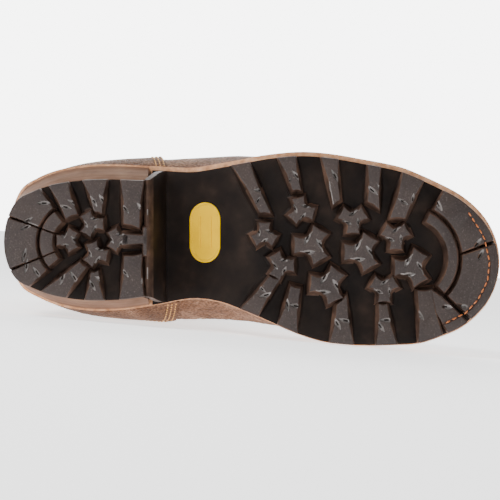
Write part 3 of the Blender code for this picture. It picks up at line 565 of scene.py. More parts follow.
def stackEdge():
    # Stacked heel leather, trimmed and inked: satin brown with faint layer lines 5 mm apart
    material, tree, shader, coords = newMaterial("leather_stack_inked", {"Roughness": 0.64, "IOR": 1.48,
                                                                         "Specular IOR Level": 0.12})
    cloud = addNode(tree, "ShaderNodeTexNoise", {"Scale": 55.0, "Detail": 5.0}, [("Vector", coords, "Object")])
    tone = colourRamp(tree, cloud, 0, [(0.30, "#6f5240"), (0.55, "#856653"), (0.80, "#967963")])
    lines = addNode(tree, "ShaderNodeTexWave", {"wave_type": "BANDS", "bands_direction": "Y", "Scale": 63.0,
                                                "Distortion": 0.25, "Detail": 1.0},
                    [("Vector", coords, "Object")])
    seam = colourRamp(tree, lines, 0, [(0.0, "#4d3a30"), (0.06, "#ffffff")])
    mix = addNode(tree, "ShaderNodeMix", {"data_type": "RGBA", "blend_type": "MULTIPLY", "Factor": 0.3},
                  [(6, tone, 0), (7, seam, 0)])
    tree.links.new(mix.outputs[2], shader.inputs["Base Color"])
    bump(tree, shader, lines, 0, 0.10, 0.0003)
    return material


def oiledLeather(name, dark, middle, pale, grainScale):
    # Pull-up leather, oiled and tumbled: pebbled grain that pales where it is bent
    material, tree, shader, coords = newMaterial(name, {"Roughness": 0.62, "IOR": 1.48,
                                                        "Specular IOR Level": 0.16})
    bend = addNode(tree, "ShaderNodeTexNoise", {"Scale": 38.0, "Detail": 6.0, "Roughness": 0.62,
                                                "Distortion": 0.9}, [("Vector", coords, "Object")])
    tone = colourRamp(tree, bend, 0, [(0.30, dark), (0.50, middle), (0.64, pale), (0.74, "#d0b092")])
    pebble = addNode(tree, "ShaderNodeTexVoronoi", {"Scale": grainScale, "Randomness": 1.0},
                     [("Vector", coords, "Object")])
    shade = colourRamp(tree, pebble, 0, [(0.0, "#ffffff"), (0.50, "#c9b8aa"), (0.80, "#705c4e")])
    mix = addNode(tree, "ShaderNodeMix", {"data_type": "RGBA", "blend_type": "MULTIPLY", "Factor": 0.75},
                  [(6, tone, 0), (7, shade, 0)])
    tree.links.new(mix.outputs[2], shader.inputs["Base Color"])
    first = bump(tree, shader, pebble, 0, 0.75, -0.0011)
    wrinkle = addNode(tree, "ShaderNodeTexNoise", {"Scale": 130.0, "Detail": 4.0, "Distortion": 1.4},
                      [("Vector", coords, "Object")])
    bump(tree, shader, wrinkle, 0, 0.50, 0.0017, first)
    return material


def plainMaterial(name, settings, stops, scale, strength=0.0, distance=0.0, detail=4.0):
    # One grain gives both the tones and, where it can be felt, the relief
    material, tree, shader, coords = newMaterial(name, settings)
    grain = addNode(tree, "ShaderNodeTexNoise", {"Scale": scale, "Detail": detail},
                    [("Vector", coords, "Object")])
    tone = colourRamp(tree, grain, 0, stops)
    tree.links.new(tone.outputs[0], shader.inputs["Base Color"])
    if strength:
        bump(tree, shader, grain, 0, strength, distance)
    return material


tipRubber, wallRubberCleanAndShaded, stackLeather = rubberTip(), rubberWall(), stackEdge()
# The drafted sides of the lugs: the same rubber, smooth, painted a lighter brown that stands in for the light
# catching them (painted light)
litSideRubber = plainMaterial("rubber_moulded_side_painted_light", {"Roughness": 0.50, "IOR": 1.52, "Specular IOR Level": 0.10},
                           [(0.35, "#31251f"), (0.55, "#4c3a31"), (0.75, "#684f41")], 90.0)
# The polished leaf marks of the mould: the same rubber, smooth enough to glint, and painted much paler as a
# painted glint
glintLeafRubber = plainMaterial("rubber_moulded_polished_painted_glint", {"Roughness": 0.20, "IOR": 1.52},
                           [(0.35, "#504b48"), (0.65, "#807976")], 160.0, detail=3.0)
# Cut edge of vegetable-tanned leather: pale orange tan, fibrous and dry
edgeLeather = plainMaterial("leather_edge_cut", {"Roughness": 0.66, "IOR": 1.48},
                            [(0.30, "#b97f58"), (0.55, "#dca47a"), (0.80, "#efc39d")], 260.0, 0.25, 0.0004, 5.0)
upperLeather = oiledLeather("leather_oiled_upper", "#7a5843", "#9a765e", "#b8957b", 620.0)  # 1.6 mm pebbles
counterLeather = oiledLeather("leather_oiled_counter", "#6c4d3b", "#88664f", "#a38068", 700.0)
# Undyed lining leather: smooth, dry and warm
liningLeather = plainMaterial("leather_lining", {"Roughness": 0.75, "IOR": 1.48},
                              [(0.3, "#a9815a"), (0.7, "#c9a47c")], 220.0, 0.15, 0.0003)
# Bonded nylon thread, waxed: gold with a soft gleam
goldThread = plainMaterial("nylon_thread_gold", {"Roughness": 0.45, "IOR": 1.53, "Sheen Weight": 0.2},
                           [(0.3, "#c98b3e"), (0.7, "#e6b56c")], 900.0, 0.2, 0.0001)
# Waxed linen thread of the sole seam: dull rust orange
soleThread = plainMaterial("linen_thread_waxed", {"Roughness": 0.60, "IOR": 1.53},
                           [(0.3, "#9a4f24"), (0.7, "#c8763c")], 900.0, 0.2, 0.0001)
# Rolled brass, dulled by wear
eyeletBrass = plainMaterial("brass_rolled_worn", {"Metallic": 1.0, "Roughness": 0.34},
                            [(0.3, "#8f7136"), (0.7, "#b8975a")], 300.0, 0.1, 0.0001)
# Moulded coloured rubber: even warm yellow, satin
inlayRubber = plainMaterial("rubber_moulded_yellow",
                            {"Roughness": 0.60, "IOR": 1.52, "Specular IOR Level": 0.05},
                            [(0.3, "#e9b600"), (0.7, "#f0c000")], 120.0, 0.05, 0.0001)


def laceMaterial():
    # Waxed braided cord: diagonal strands about 1 mm wide that catch the light
    material, tree, shader, coords = newMaterial("cord_waxed_braid", {"Roughness": 0.62, "Sheen Weight": 0.15})
    weave = addNode(tree, "ShaderNodeTexWave", {"wave_type": "BANDS", "bands_direction": "DIAGONAL",
                                                "Scale": 320.0, "Distortion": 1.2, "Detail": 1.5},
                    [("Vector", coords, "Object")])
    tone = colourRamp(tree, weave, 0, [(0.2, "#38251a"), (0.8, "#6b4a34")])
    tree.links.new(tone.outputs[0], shader.inputs["Base Color"])
    bump(tree, shader, weave, 0, 0.5, 0.0003)
    return material


laceCord = laceMaterial()
print("materials made")


# Sole

# Lugs at the edge: side, the two places on the outline, the two inner corners
sideLugs = [
    (-1, 0.458, 0.494, 0.514, -0.167, 0.537, -0.162), (-1, 0.549, 0.586, 0.579, -0.280, 0.596, -0.280),
    (-1, 0.635, 0.670, 0.659, -0.202, 0.673, -0.232), (-1, 0.727, 0.754, 0.727, -0.224, 0.751, -0.184),
    (-1, 0.797, 0.840, 0.771, -0.137, 0.802, -0.137), (1, 0.475, 0.511, 0.533, 0.152, 0.554, 0.170),
    (1, 0.549, 0.588, 0.575, 0.200, 0.595, 0.213), (1, 0.652, 0.700, 0.666, 0.297, 0.686, 0.248),
    (1, 0.744, 0.787, 0.749, 0.292, 0.766, 0.292), (1, 0.828, 0.878, 0.826, 0.224, 0.856, 0.217),
    (-1, 0.096, 0.135, 0.130, -0.137, 0.154, -0.161), (-1, 0.163, 0.212, 0.187, -0.173, 0.202, -0.161),
    (-1, 0.238, 0.285, 0.244, -0.112, 0.276, -0.089), (1, 0.236, 0.285, 0.245, 0.051, 0.281, 0.041),
    (1, 0.167, 0.206, 0.179, 0.134, 0.195, 0.124), (1, 0.080, 0.130, 0.158, 0.080, 0.172, 0.107),
]
# Three-armed lugs: place, first arm's angle, reach of an arm as a share of the ball width
starLugs = [
    (0.523, -0.057, 90, 0.062), (0.596, -0.180, 105, 0.066), (0.556, 0.099, 0, 0.067),
    (0.617, -0.005, 60, 0.091), (0.698, -0.134, 30, 0.070), (0.716, 0.031, 60, 0.091),
    (0.649, 0.198, 55, 0.091), (0.783, -0.050, 30, 0.069), (0.816, 0.109, 60, 0.092),
    (0.760, 0.215, 30, 0.069), (0.134, -0.030, 60, 0.056), (0.181, -0.112, 0, 0.060),
    (0.189, 0.041, 110, 0.060), (0.232, -0.033, 0, 0.054),
]
# Curved bars round the toe and heel: centre, inner and outer radius (0 runs to the edge), first and last
# angle, and how far each end's outer corner turns on
toeCentre, heelCentre = (0.808, 0.063), (0.154, -0.020)
arcLugs = [
    (toeCentre, 0.205, 0.256, 64, -43, 0, 0), (toeCentre, 0.280, 0.0, 62, 6.5, 0, 5.5),
    (toeCentre, 0.280, 0.0, 3.5, -43, 6.0, 0), (heelCentre, 0.129, 0.192, 128, 158, 0, 0.7),
    (heelCentre, 0.129, 0.192, 162, 201, -0.7, 0.7), (heelCentre, 0.129, 0.192, 205, 220, -0.7, 0),
    (heelCentre, 0.213, 0.0, 126, 158.5, 0, 0.4), (heelCentre, 0.213, 0.0, 161.5, 201, -0.4, 0.4),
    (heelCentre, 0.213, 0.0, 204, 222, -0.4, 0),
]
# Leaf marks sunk in the lugs' faces: place, angle in the picture, size
leafMarks = [
    (0.516, -0.283, 0, 1.0), (0.510, -0.230, 60, 0.6), (0.587, -0.354, -50, 1.0), (0.572, -0.328, 60, 0.6),
    (0.647, -0.308, -60, 1.0), (0.663, -0.354, -60, 1.0), (0.736, -0.283, -40, 1.0), (0.752, -0.288, -60, 0.8),
    (0.797, -0.225, -30, 0.8), (0.817, -0.237, 80, 0.8), (0.868, -0.212, -60, 1.1), (0.949, -0.015, 50, 1.0),
    (0.955, 0.044, 60, 1.0), (0.527, 0.248, 15, 1.0), (0.518, 0.218, -40, 0.7), (0.586, 0.304, -10, 1.0),
    (0.568, 0.294, -80, 1.0), (0.684, 0.378, -15, 1.0), (0.667, 0.392, -60, 1.0), (0.765, 0.375, 0, 1.0),
    (0.752, 0.405, -55, 1.0), (0.829, 0.344, -50, 1.1), (0.916, 0.304, -10, 1.1), (0.886, 0.309, 0, 1.0),
    (0.087, -0.217, 0, 1.0), (0.054, -0.129, 30, 0.9), (0.052, -0.096, 25, 0.9), (0.147, -0.217, -25, 1.0),
    (0.129, -0.197, -15, 0.9), (0.186, -0.225, -60, 0.8), (0.203, -0.230, -60, 1.0), (0.247, -0.189, -50, 0.9),
    (0.281, -0.187, -50, 1.1), (0.048, 0.046, 75, 1.0), (0.052, 0.101, 80, 1.0), (0.073, 0.135, -55, 1.0),
    (0.123, 0.157, 75, 1.1), (0.147, 0.162, -60, 1.0), (0.182, 0.197, -60, 0.9), (0.200, 0.172, -30, 1.0),
    (0.247, 0.135, -50, 0.8), (0.287, 0.157, 60, 1.1),
]
# Run of the sole seam's thread round the toe, in its channel
toeThread = [
    (0.932, -0.162), (0.953, -0.081), (0.963, -0.035), (0.973, 0.081), (0.969, 0.177), (0.949, 0.273),
    (0.924, 0.339), (0.876, 0.400),
]
sole = {
    # sides of a lug: share of its depth, spread there
    "profile": [(0.0, 0.0), (0.45, 0.0009), (0.70, 0.0015), (0.87, 0.0022), (0.97, 0.0031), (1.04, 0.0041)],
    "edgeRound": 0.0006, "slabRound": 0.0009, "leafLength": 0.0098, "leafWidth": 0.0031,
    "leafDepth": 0.0016, "stitch": 0.0034, "stitchGap": 0.0009, "thread": 0.0005, "ribHalf": 0.0035,
    "channel": 0.0008, "breastReach": 0.0105, "breastWall": 0.004,
}


def places(start, stop, count, roundStart=True, roundStop=True):
    shares = [k / count for k in range(count + 1)]
    if roundStart and roundStop:
        shares = [(1 - cos(pi * s)) / 2 for s in shares]
    elif roundStart:
        shares = [1 - cos(pi / 2 * s) for s in shares]
    elif roundStop:
        shares = [sin(pi / 2 * s) for s in shares]
    return [start + (stop - start) * s for s in shares]


def edgeAt(height, inset=0.0, shift=0.0, narrow=1.0):
    def rowAt(x):
        lateral, medial = outline(x, inset, shift, narrow)
        return x, lateral, medial, height(x)
    return rowAt


def lugFloor(x):
    return boot["lug"] if x < boot["heelFront"] * length else treadTop(x)


def sideLugCorners(row):
    side, outA, outB, inAX, inAY, inBX, inBY = row
    corners = []
    for k in range(9):
        x = (outA + (outB - outA) * k / 8) * length
        lateral, medial = treadEdges(x)
        corners.append((x, lateral + 0.0004 if side < 0 else medial - 0.0004))
    a, b = Vector((inAX * length, inAY * ball)), Vector((inBX * length, inBY * ball))
    first, last = Vector(corners[0]), Vector(corners[-1])
    bow = 0.0011
    # the two long sides bow in a little, and the inner end is hollow
    corners.append(tuple(last.lerp(b, 0.5) + Vector((-bow, 0))))
    corners.append(tuple(b))
    corners.append(tuple(a.lerp(b, 0.5) + (first.lerp(last, 0.5) - a.lerp(b, 0.5)).normalized() * 0.0008))
    corners.append(tuple(a))
    corners.append(tuple(first.lerp(a, 0.5) + Vector((bow, 0))))
    return corners


def starCorners(row):
    along, across, angle, reach = row
    centre = Vector((along * length, across * ball))
    arm = reach * ball
    corners = []
    for k in range(3):
        turn = radians(angle + 120 * k)
        out, side = Vector((cos(turn), -sin(turn))), Vector((sin(turn), cos(turn)))
        tipA, tipB = centre + out * arm + side * 0.48 * arm, centre + out * arm - side * 0.48 * arm
        corners += [tipA, centre + out * arm * 0.95, tipB]
        after = radians(angle + 120 * (k + 1))
        outNext, sideNext = Vector((cos(after), -sin(after))), Vector((sin(after), cos(after)))
        following = centre + outNext * arm + sideNext * 0.48 * arm
        middle = centre + Vector((cos(turn + pi / 3), -sin(turn + pi / 3))) * arm * 0.50
        for s in (0.2, 0.4, 0.6, 0.8):
            straight = tipB.lerp(following, s)
            chord = tipB.lerp(following, 0.5)
            corners.append(straight + (middle - chord) * 4 * s * (1 - s))
    return [tuple(corner) for corner in corners]


def arcCorners(row, steps=16):
    place, inner, outer, first, last, firstOn, lastOn = row
    centre = Vector((place[0] * length, place[1] * ball))
    inside, outside = [], []
    for k in range(steps + 1):
        turn = radians(first + (last - first) * k / steps)
        out = Vector((cos(turn), -sin(turn)))
        inside.append(tuple(centre + out * inner * ball))
        turn = radians(first + firstOn + (last + lastOn - first - firstOn) * k / steps)
        out = Vector((cos(turn), -sin(turn)))
        if outer:
            outside.append(tuple(centre + out * outer * ball))
        else:
            outside.append(tuple(keptOnTread(centre, out, 0.75 * ball) - out * 0.0005))
    return inside + outside[::-1]


def leafShape():
    # A lens with two pointed ends, long along X, 2 by 2 by 2 before it is scaled
    leaf = ballShape(10, 10)
    # its poles go to X, and the seam of the grid to -Y
    leaf.data.transform(Matrix.Rotation(pi, 4, "X") @ Matrix.Rotation(pi / 2, 4, "Y"))
    for vertex in leaf.data.vertices:
        vertex.co.yz = vertex.co.yz * max(1 - vertex.co.x ** 2, 0.0) ** 0.5
    return leaf


def leafSpots():
    spots = []
    for x, y, angle, size in leafMarks:
        half = size * sole["leafLength"] / 2
        spots.append((x * length, y * ball, angle, half, size * sole["leafWidth"] / 2))
    for along, across, angle, reach in starLugs:
        large = reach > 0.08
        half = 0.0052 if large else 0.0032
        for k in range(3):
            turn = radians(angle - 60 + 120 * k)
            away = 0.0054 if large else 0.0039
            x, y = along * length + away * cos(turn), across * ball - away * sin(turn)
            spots.append((x, y, angle - 60 + 120 * k + 127, half, 0.0018 if large else 0.0013))
    matrices = []
    for x, y, angle, half, wide in spots:
        turn = Matrix.Rotation(-radians(angle), 4, "Z")
        size = Matrix.Diagonal((half, wide, sole["leafDepth"], 1))
        # a little deeper than the face, so that no corner of a mark lies in the face itself
        matrices.append(Matrix.Translation((x, y, rocker(x) + 0.00017)) @ turn @ size)
    return matrices


def makeLugs():
    lugs = []
    charts = [sideLugCorners(row) for row in sideLugs] + [starCorners(row) for row in starLugs]
    charts += [arcCorners(row) for row in arcLugs]
    # the rear heel lug runs on to the breast as a rib between two slots, which a thin bar closes
    x, y = starLugs[-1][0] * length, starLugs[-1][1] * ball
    rib, front = sole["ribHalf"], boot["heelFront"] * length - 0.0004
    charts.append([(x + 0.003, y - rib), (front - 0.004, y - rib * 0.72), (front, y - rib * 0.8),
                   (front, y + rib * 0.8), (front - 0.004, y + rib * 0.72), (x + 0.003, y + rib)])
    charts.append([(front - 0.0024, -0.0115), (front, -0.0115), (front, 0.0060), (front - 0.0024, 0.0060)])
    # wedge between the last inner lug and the toe's bars
    rim = [(k, outline(k, boot["treadInset"], boot["treadShift"])[1] - 0.0004)
           for k in (0.9285 * length, 0.918 * length, 0.907 * length, 0.896 * length, 0.889 * length)]
    charts.append([(0.853 * length, 0.217 * ball), (0.873 * length, 0.254 * ball)] + rim
                  + [(0.864 * length, 0.340 * ball)])
    spots = leafSpots()
    for corners in charts:
        lug = prismPiece(corners, lugFloor, rocker, sole["profile"])
        roundEdges(lug, sole["edgeRound"], 40)
        cutMarks(lug, corners, spots)
        if max(corner[0] for corner in corners) > toeThread[-1][0] * length:
            cutThreadChannel(lug)
        lugs.append(lug)
    return joined("lugs", lugs)


def cutMarks(lug, corners, spots):
    # The leaf marks that reach one lug are sunk in its face
    reach = sole["leafLength"] / 2
    low = [min(corner[k] for corner in corners) - reach for k in (0, 1)]
    high = [max(corner[k] for corner in corners) + reach for k in (0, 1)]
    near = [spot for spot in spots if all(low[k] < spot.translation[k] < high[k] for k in (0, 1))]
    if near:
        marks = crowd("leaf_marks", leafShape(), near)
        tidyMesh(marks, 0.000001)
        cutWith(lug, marks, use_self=True)


def cutThreadChannel(piece):
    points = [Vector((x * length, y * ball, rocker(x * length))) for x, y in toeThread]
    cutWith(piece, ropePiece("channel", smoothLine(points), sole["channel"], 8))


def makeOutsole():
    front = boot["heelFront"] * length
    inset, narrow, shift = boot["treadInset"], boot["liftNarrow"], boot["liftShift"]
    slabPlaces = places(front + 0.001, length - inset, 70, False, True)
    slab = layerPiece("slab", slabPlaces, edgeAt(treadTop, inset, boot["treadShift"]),
                      edgeAt(lambda x: baseLine(x) - 0.0003, inset, boot["treadShift"]), 10, sole["slabRound"])
    liftPlaces = places(inset, front, 40, True, False)
    lift = layerPiece("lift", liftPlaces, edgeAt(lambda x: boot["lug"], inset, shift, narrow),
                      edgeAt(lambda x: boot["lug"] + boot["lift"], inset, shift, narrow), 10, 0.0006)
    # The breast: a concave wall from the heel's front edge up to the shank
    steps, reach = 14, sole["breastReach"]

    def breastPoint(u, v):
        step = v * steps
        rise = smoothStep(step / steps)
        x = front - 0.0005 + reach * step / steps
        low = boot["lug"] * 0.12
        z = low + (treadTop(front + reach) - low + 0.0006) * (step / steps) ** 1.7
        near, far = outline(x, inset, shift, narrow), outline(x, inset + 0.0003, shift / 2)
        lateral = near[0] + (far[0] - near[0]) * rise
        medial = near[1] + (far[1] - near[1]) * rise
        return Vector((x, lateral + (medial - lateral) * u, z))

    breast = gridPiece("breast", 20, steps, breastPoint)
    edited(breast, bpy.ops.mesh.normals_make_consistent, inside=False)
    applyModifier(breast, "SOLIDIFY", thickness=sole["breastWall"], offset=-1.0)
    lugs = makeLugs()
    outsole = joined("outsole_shown", [slab, lift, breast, lugs])
    smoothed(outsole, 38)
    low = Vector((0, 0, -1))
    marks = [spot.inverted() for spot in leafSpots()]
    for face in outsole.data.polygons:
        above = face.center.z - rocker(face.center.x)
        # the tips keep the dusty rubber; all other faces get the darker wall rubber, partly clean rubber and
        # partly painted shade
        face.material_index = 0 if face.normal.dot(low) > 0.93 and above < 0.0016 else 1
        # the drafted sides and the sole's side walls get the brown painted light
        if face.normal.dot(low) < 0.93 and above < boot["lug"] - 0.0008 or abs(face.normal.y) > 0.6:
            face.material_index = 3
        if 0.00002 < above < 0.0015:
            # inside one of the leaf marks the rubber is glossy and painted pale, a painted glint
            inMark = any((spot @ face.center).to_2d().length < 1.02 and abs((spot @ face.center).y) < 1
                         for spot in marks)
            if inMark and face.area < 0.00002:
                face.material_index = 2
    finishPiece(outsole, ["outsole"], [tipRubber, wallRubberCleanAndShaded, glintLeafRubber, litSideRubber])


def makeThread():
    # Stitches of the sole seam showing in the channel round the toe
    points = [Vector((x * length, y * ball, 0)) for x, y in toeThread]
    spots = []
    pitch = sole["stitch"] + sole["stitchGap"]
    walked = 0.0
    for a, b in zip(points, points[1:]):
        run = (b - a).length
        while walked < run:
            spot = a.lerp(b, walked / run)
            spot.z = rocker(spot.x) + 0.0001
            spots.append(stitchAt(spot, b - a, sole["stitch"], sole["thread"]))
            walked += pitch
        walked -= run
    thread = crowd("toe_stitches", ballShape(8, 6), spots)
    smoothed(thread, 80)
    finishPiece(thread, materials=[soleThread])


def makeStack():
    inset, lowInset = 0.0012, boot["treadInset"]
    low, high = boot["lug"] + boot["lift"] + 0.0002, boot["lug"] + boot["lift"] + boot["stack"] - 0.0002
    front = boot["heelFront"] * length - 0.0013
    count = 44
    stack = layerPiece("heel_stack_shown", [k / count for k in range(count + 1)],
                       lambda s: edgeAt(lambda x: low, lowInset, boot["liftShift"], boot["liftNarrow"])(
                           lowInset + (front - lowInset) * (1 - cos(pi / 2 * s))),
                       lambda s: edgeAt(lambda x: high, inset)(inset + (front - inset) * (1 - cos(pi / 2 * s))),
                       10, 0.0004)
    smoothed(stack)
    finishPiece(stack, ["heel_stack"], [stackLeather])


def makeMidsole():
    stations = places(0.0, length, 90)
    midsole = layerPiece("midsole_shown", stations, edgeAt(baseLine), edgeAt(midsoleTop), 8, 0.0011)
    smoothed(midsole)
    finishPiece(midsole, ["midsole"], [edgeLeather])


weltSeam = {"inset": 0.003, "height": 0.0033, "pitch": 0.0042}


def makeWelt():
    # The welt's strip, with the seam's stitches sunk along it
    start = 0.356 * length
    half = places(start, length - 0.0002, 60, False, True)
    path = [(x, 0) for x in half] + [(x, 1) for x in half[::-1]]

    def weltPoint(u, v):
        x, edge = path[int(round(v * (len(path) - 1)))]
        outer = Vector((x, outline(x, 0.0003)[edge]))
        margin = upperInset(x) - 0.0012 - 0.0012 * (1 - smoothStep((x - start) / (length - start) * 2.2))
        around = max(x - boot["springStart"] * length, 0.0) / (length - boot["springStart"] * length)
        innerX = x - margin * around
        inner = Vector((innerX, outline(innerX, margin)[edge]))
        corner = (outer, inner, inner, outer, outer)[int(round(u * 4))]
        rise = (0, 0, boot["welt"], boot["welt"], 0)[int(round(u * 4))]
        return Vector((corner.x, corner.y, midsoleTop(corner.x) + 0.0003 + rise))

    welt = gridPiece("welt_shown", 4, len(path) - 1, weltPoint)
    tidyMesh(welt, 0.000004, fill=True)
    roundEdges(welt, 0.0005, 50)
    smoothed(welt)
    finishPiece(welt, ["welt"], [edgeLeather])
    spots = []
    for edge in (0, 1):
        x = start + 0.004
        while x < length - 0.010:
            ahead = 0.0005
            a, b = (Vector((at, outline(at, weltSeam["inset"])[edge], midsoleTop(at) + weltSeam["height"]))
                    for at in (x, x + ahead))
            spots.append(stitchAt(a, b - a, sole["stitch"], sole["thread"]))
            x += weltSeam["pitch"] * ahead / (b - a).length
    seam = crowd("welt_stitches", ballShape(8, 6), spots)
    smoothed(seam, 80)
    finishPiece(seam, materials=[soleThread])


def makeInsole():
    def inset(x):
        return upperInset(x) + boot["wall"] + 0.0022

    back, front = inset(0.0), length - inset(length)

    def rowAt(rise):
        def at(x):
            lateral, medial = outline(x, inset(x))
            return x, lateral, medial, midsoleTop(x) + rise
        return at

    insole = layerPiece("insole_shown", places(back + 0.001, front - 0.001, 60),
                        rowAt(0.0003), rowAt(0.0033), 8, 0.0008)
    smoothed(insole)
    finishPiece(insole, ["insole"], [liningLeather])


inlaySizes = {"along": 0.404, "across": -0.070, "width": 0.022, "long": 0.038, "seat": 0.0010, "height": 0.0019,
              "rim": 0.0012, "slope": 0.0004, "sunk": 0.0006, "round": 0.0003, "ribApart": 0.0038,
              "rib": (0.0016, 0.020, 0.0008)}


def makeInlay():
    # Coloured plate let into the shank: round ends, raised rim and two plain ribs
    width, long = inlaySizes["width"], inlaySizes["long"]
    x = inlaySizes["along"] * length
    slope = atan2(treadTop(x + 0.001) - treadTop(x - 0.001), 0.002)
    place = Matrix.Translation((x, inlaySizes["across"] * ball, treadTop(x))) @ Matrix.Rotation(-slope, 4, "Y")
    deselectAll()
    bpy.ops.mesh.primitive_circle_add(vertices=48, radius=width / 2, fill_type="NGON")
    inlay = bpy.context.object
    inlay.name = "inlay_shown"
    for vertex in inlay.data.vertices:
        vertex.co.y += (long - width) / 2 * (1 if vertex.co.y > 0 else -1)
        vertex.co.z = inlaySizes["seat"]
    bpy.ops.object.mode_set(mode="EDIT")
    bpy.ops.mesh.select_all(action="SELECT")
    bpy.ops.mesh.extrude_region_move(TRANSFORM_OT_translate={"value": (0, 0, -inlaySizes["height"])})
    bpy.ops.mesh.inset(thickness=inlaySizes["rim"], depth=0.0)
    bpy.ops.mesh.inset(thickness=inlaySizes["slope"], depth=0.0)
    bpy.ops.transform.translate(value=(0, 0, inlaySizes["sunk"]))
    bpy.ops.object.mode_set(mode="OBJECT")
    tidyMesh(inlay, 0.000002)
    roundEdges(inlay, inlaySizes["round"], 35)
    ribs = []
    for offset in (-inlaySizes["ribApart"], inlaySizes["ribApart"]):
        deselectAll()
        bpy.ops.mesh.primitive_cube_add(size=1, location=(offset, 0, -0.00045), scale=inlaySizes["rib"])
        bpy.ops.object.transform_apply(location=True, scale=True)
        applyModifier(bpy.context.object, "BEVEL", width=inlaySizes["round"], segments=2)
        ribs.append(bpy.context.object)
    inlay = joined("inlay_shown", [inlay] + ribs)
    inlay.data.transform(place)
    smoothed(inlay, 40)
    finishPiece(inlay, ["inlay"], [inlayRubber])


makeOutsole()
makeThread()
makeStack()
makeMidsole()
makeWelt()
makeInsole()
makeInlay()
print("sole made")


# Upper

upper = {
    "rows": 150, "ring": 44, "rim": 0.0006, "overlay": 0.0015, "overlayLift": 0.0003, "overlayRim": 0.0004,
    "eyeletStep": 8 / 9, "stayFrom": 7 / 9, "stitch": 0.0022, "stitchGap": 0.0007, "thread": 0.0005,
    "counterFront": 0.338, "counterCrown": 0.116, "counterSlope": 0.36,
}
# Creases: row and ring share of each end, depth and half width; on the lateral (-1) or inner (1) side
creases = [
    (5.6, 0.78, 6.6, 0.42, -1, 0.0016, 0.0040), (6.3, 0.86, 7.3, 0.48, -1, 0.0018, 0.0042),
    (7.1, 0.80, 8.0, 0.44, -1, 0.0012, 0.0040), (5.5, 0.80, 6.4, 0.40, 1, 0.0016, 0.0040),
    (6.2, 0.88, 7.2, 0.46, 1, 0.0018, 0.0042), (7.0, 0.82, 8.2, 0.40, 1, 0.0012, 0.0040),
    (11.5, 0.60, 15.5, 0.30, -1, 0.0016, 0.0050), (12.5, 0.66, 17.2, 0.36, -1, 0.0020, 0.0055),
    (13.6, 0.70, 18.6, 0.30, -1, 0.0014, 0.0050), (11.8, 0.58, 15.8, 0.28, 1, 0.0016, 0.0050),
    (12.8, 0.68, 17.4, 0.34, 1, 0.0020, 0.0055), (13.9, 0.72, 18.8, 0.32, 1, 0.0014, 0.0050),
    (9.2, 0.50, 11.6, 0.22, 1, 0.0017, 0.0032), (8.4, 0.40, 10.2, 0.20, 1, 0.0015, 0.0030),
    (19.8, 0.40, 20.6, 0.05, -1, 0.0012, 0.0060), (19.6, 0.42, 20.4, 0.04, 1, 0.0012, 0.0060),
]


def creaseDepth(place, share, side):
    # How far the leather is pressed in by the creases, fading to their ends
    depth = 0.0
    for rowA, shareA, rowB, shareB, onSide, deep, wide in creases:
        if onSide != side:
            continue
        # rows are about 13 mm apart and the ring about 110 mm long
        ax, ay, bx, by = rowA * 0.013, shareA * 0.11, rowB * 0.013, shareB * 0.11
        px, py = place * 0.013, share * 0.11
        t = ((px - ax) * (bx - ax) + (py - ay) * (by - ay)) / ((bx - ax) ** 2 + (by - ay) ** 2)
        t = min(max(t, 0.0), 1.0)
        off = ((px - ax - t * (bx - ax)) ** 2 + (py - ay - t * (by - ay)) ** 2) ** 0.5
        if off < 2 * wide:
            fold = cos(pi * off / (2 * wide))
            depth += deep * (0.35 + 0.65 * sin(pi * t)) * (fold if fold > 0 else fold * 0.35)
    return depth


def skinPoint(place, share, side, liftOff=0.0):
    # The upper's outer surface with its creases
    point = upperPoint(place, share, side, liftOff)
    depth = creaseDepth(place, share, side)
    if depth:
        ahead = upperPoint(min(place + 0.05, lastRow), share, side)
        above = upperPoint(place, min(share + 0.02, 1.0), side)
        normal = (ahead - point).cross(above - point)
        if normal.length > 0:
            normal.normalize()
            inward = Vector((0.0, -side, 0.0))
            if normal.dot(inward) < 0:
                normal = -normal
            point += normal * depth
    return point


def skinPiece(name, rowA, rowB, shareA, shareB, liftOff=0.0, rows=None, ring=None, sides=(-1, 1)):
    # A part of the skin between two rows and two ring shares, on one side or both
    rows = rows or max(int(upper["rows"] * (rowB - rowA) / lastRow), 4)
    ring = ring or max(int(upper["ring"] * (shareB - shareA)), 3)
    halves = []
    for side in sides:
        def pointAt(u, v, side=side):
            return skinPoint(rowA + (rowB - rowA) * v, shareA + (shareB - shareA) * u, side, liftOff)
        half = gridPiece(name, ring, rows, pointAt)
        halves.append(half)
    piece = joined(name, halves)
    tidyMesh(piece, 0.00004)
    facingOut(piece)
    return piece


def facingOut(piece):
    # Normals away from the boot's middle line
    total = 0.0
    for face in piece.data.polygons:
        middle = Vector((face.center.x if face.center.x > 0.2 else 0.075, 0, min(face.center.z, 0.16)))
        total += face.normal.dot(face.center - middle) * face.area
    if total < 0:
        edited(piece, bpy.ops.mesh.flip_normals)


def cutAway(piece, point, normal):
    # Everything beyond a plane is taken off
    edited(piece, bpy.ops.mesh.bisect, plane_co=point, plane_no=normal, clear_outer=True, clear_inner=False,
           threshold=0.00001)


def outwardAt(place, share, side, step=0.02):
    # The way out of the skin near the throat
    at = upperPoint(place, share, side)
    ahead = upperPoint(place - 0.05, share, side) - at
    across = upperPoint(place, share + step, side) - at
    normal = ahead.cross(across).normalized()
    return normal if normal.dot(Vector((0.4, side, 0))) >= 0 else -normal


def eyeletSpots():
    spots = []
    for k in range(boot["eyeletPairs"]):
        place = placeAtHeight(boot["firstEyelet"] + boot["eyeletPitch"] * k)
        for side in (-1, 1):
            spots.append((k, side, place, upperPoint(place, upper["eyeletStep"], side),
                          outwardAt(place, upper["eyeletStep"], side)))
    return spots


eyelets = eyeletSpots()


def holeCutter():
    deselectAll()
    bpy.ops.mesh.primitive_cylinder_add(vertices=24, radius=0.0028, depth=0.016)
    spots = [turnedTo(at, normal) for k, side, place, at, normal in eyelets]
    return crowd("eyelet_holes", bpy.context.object, spots)


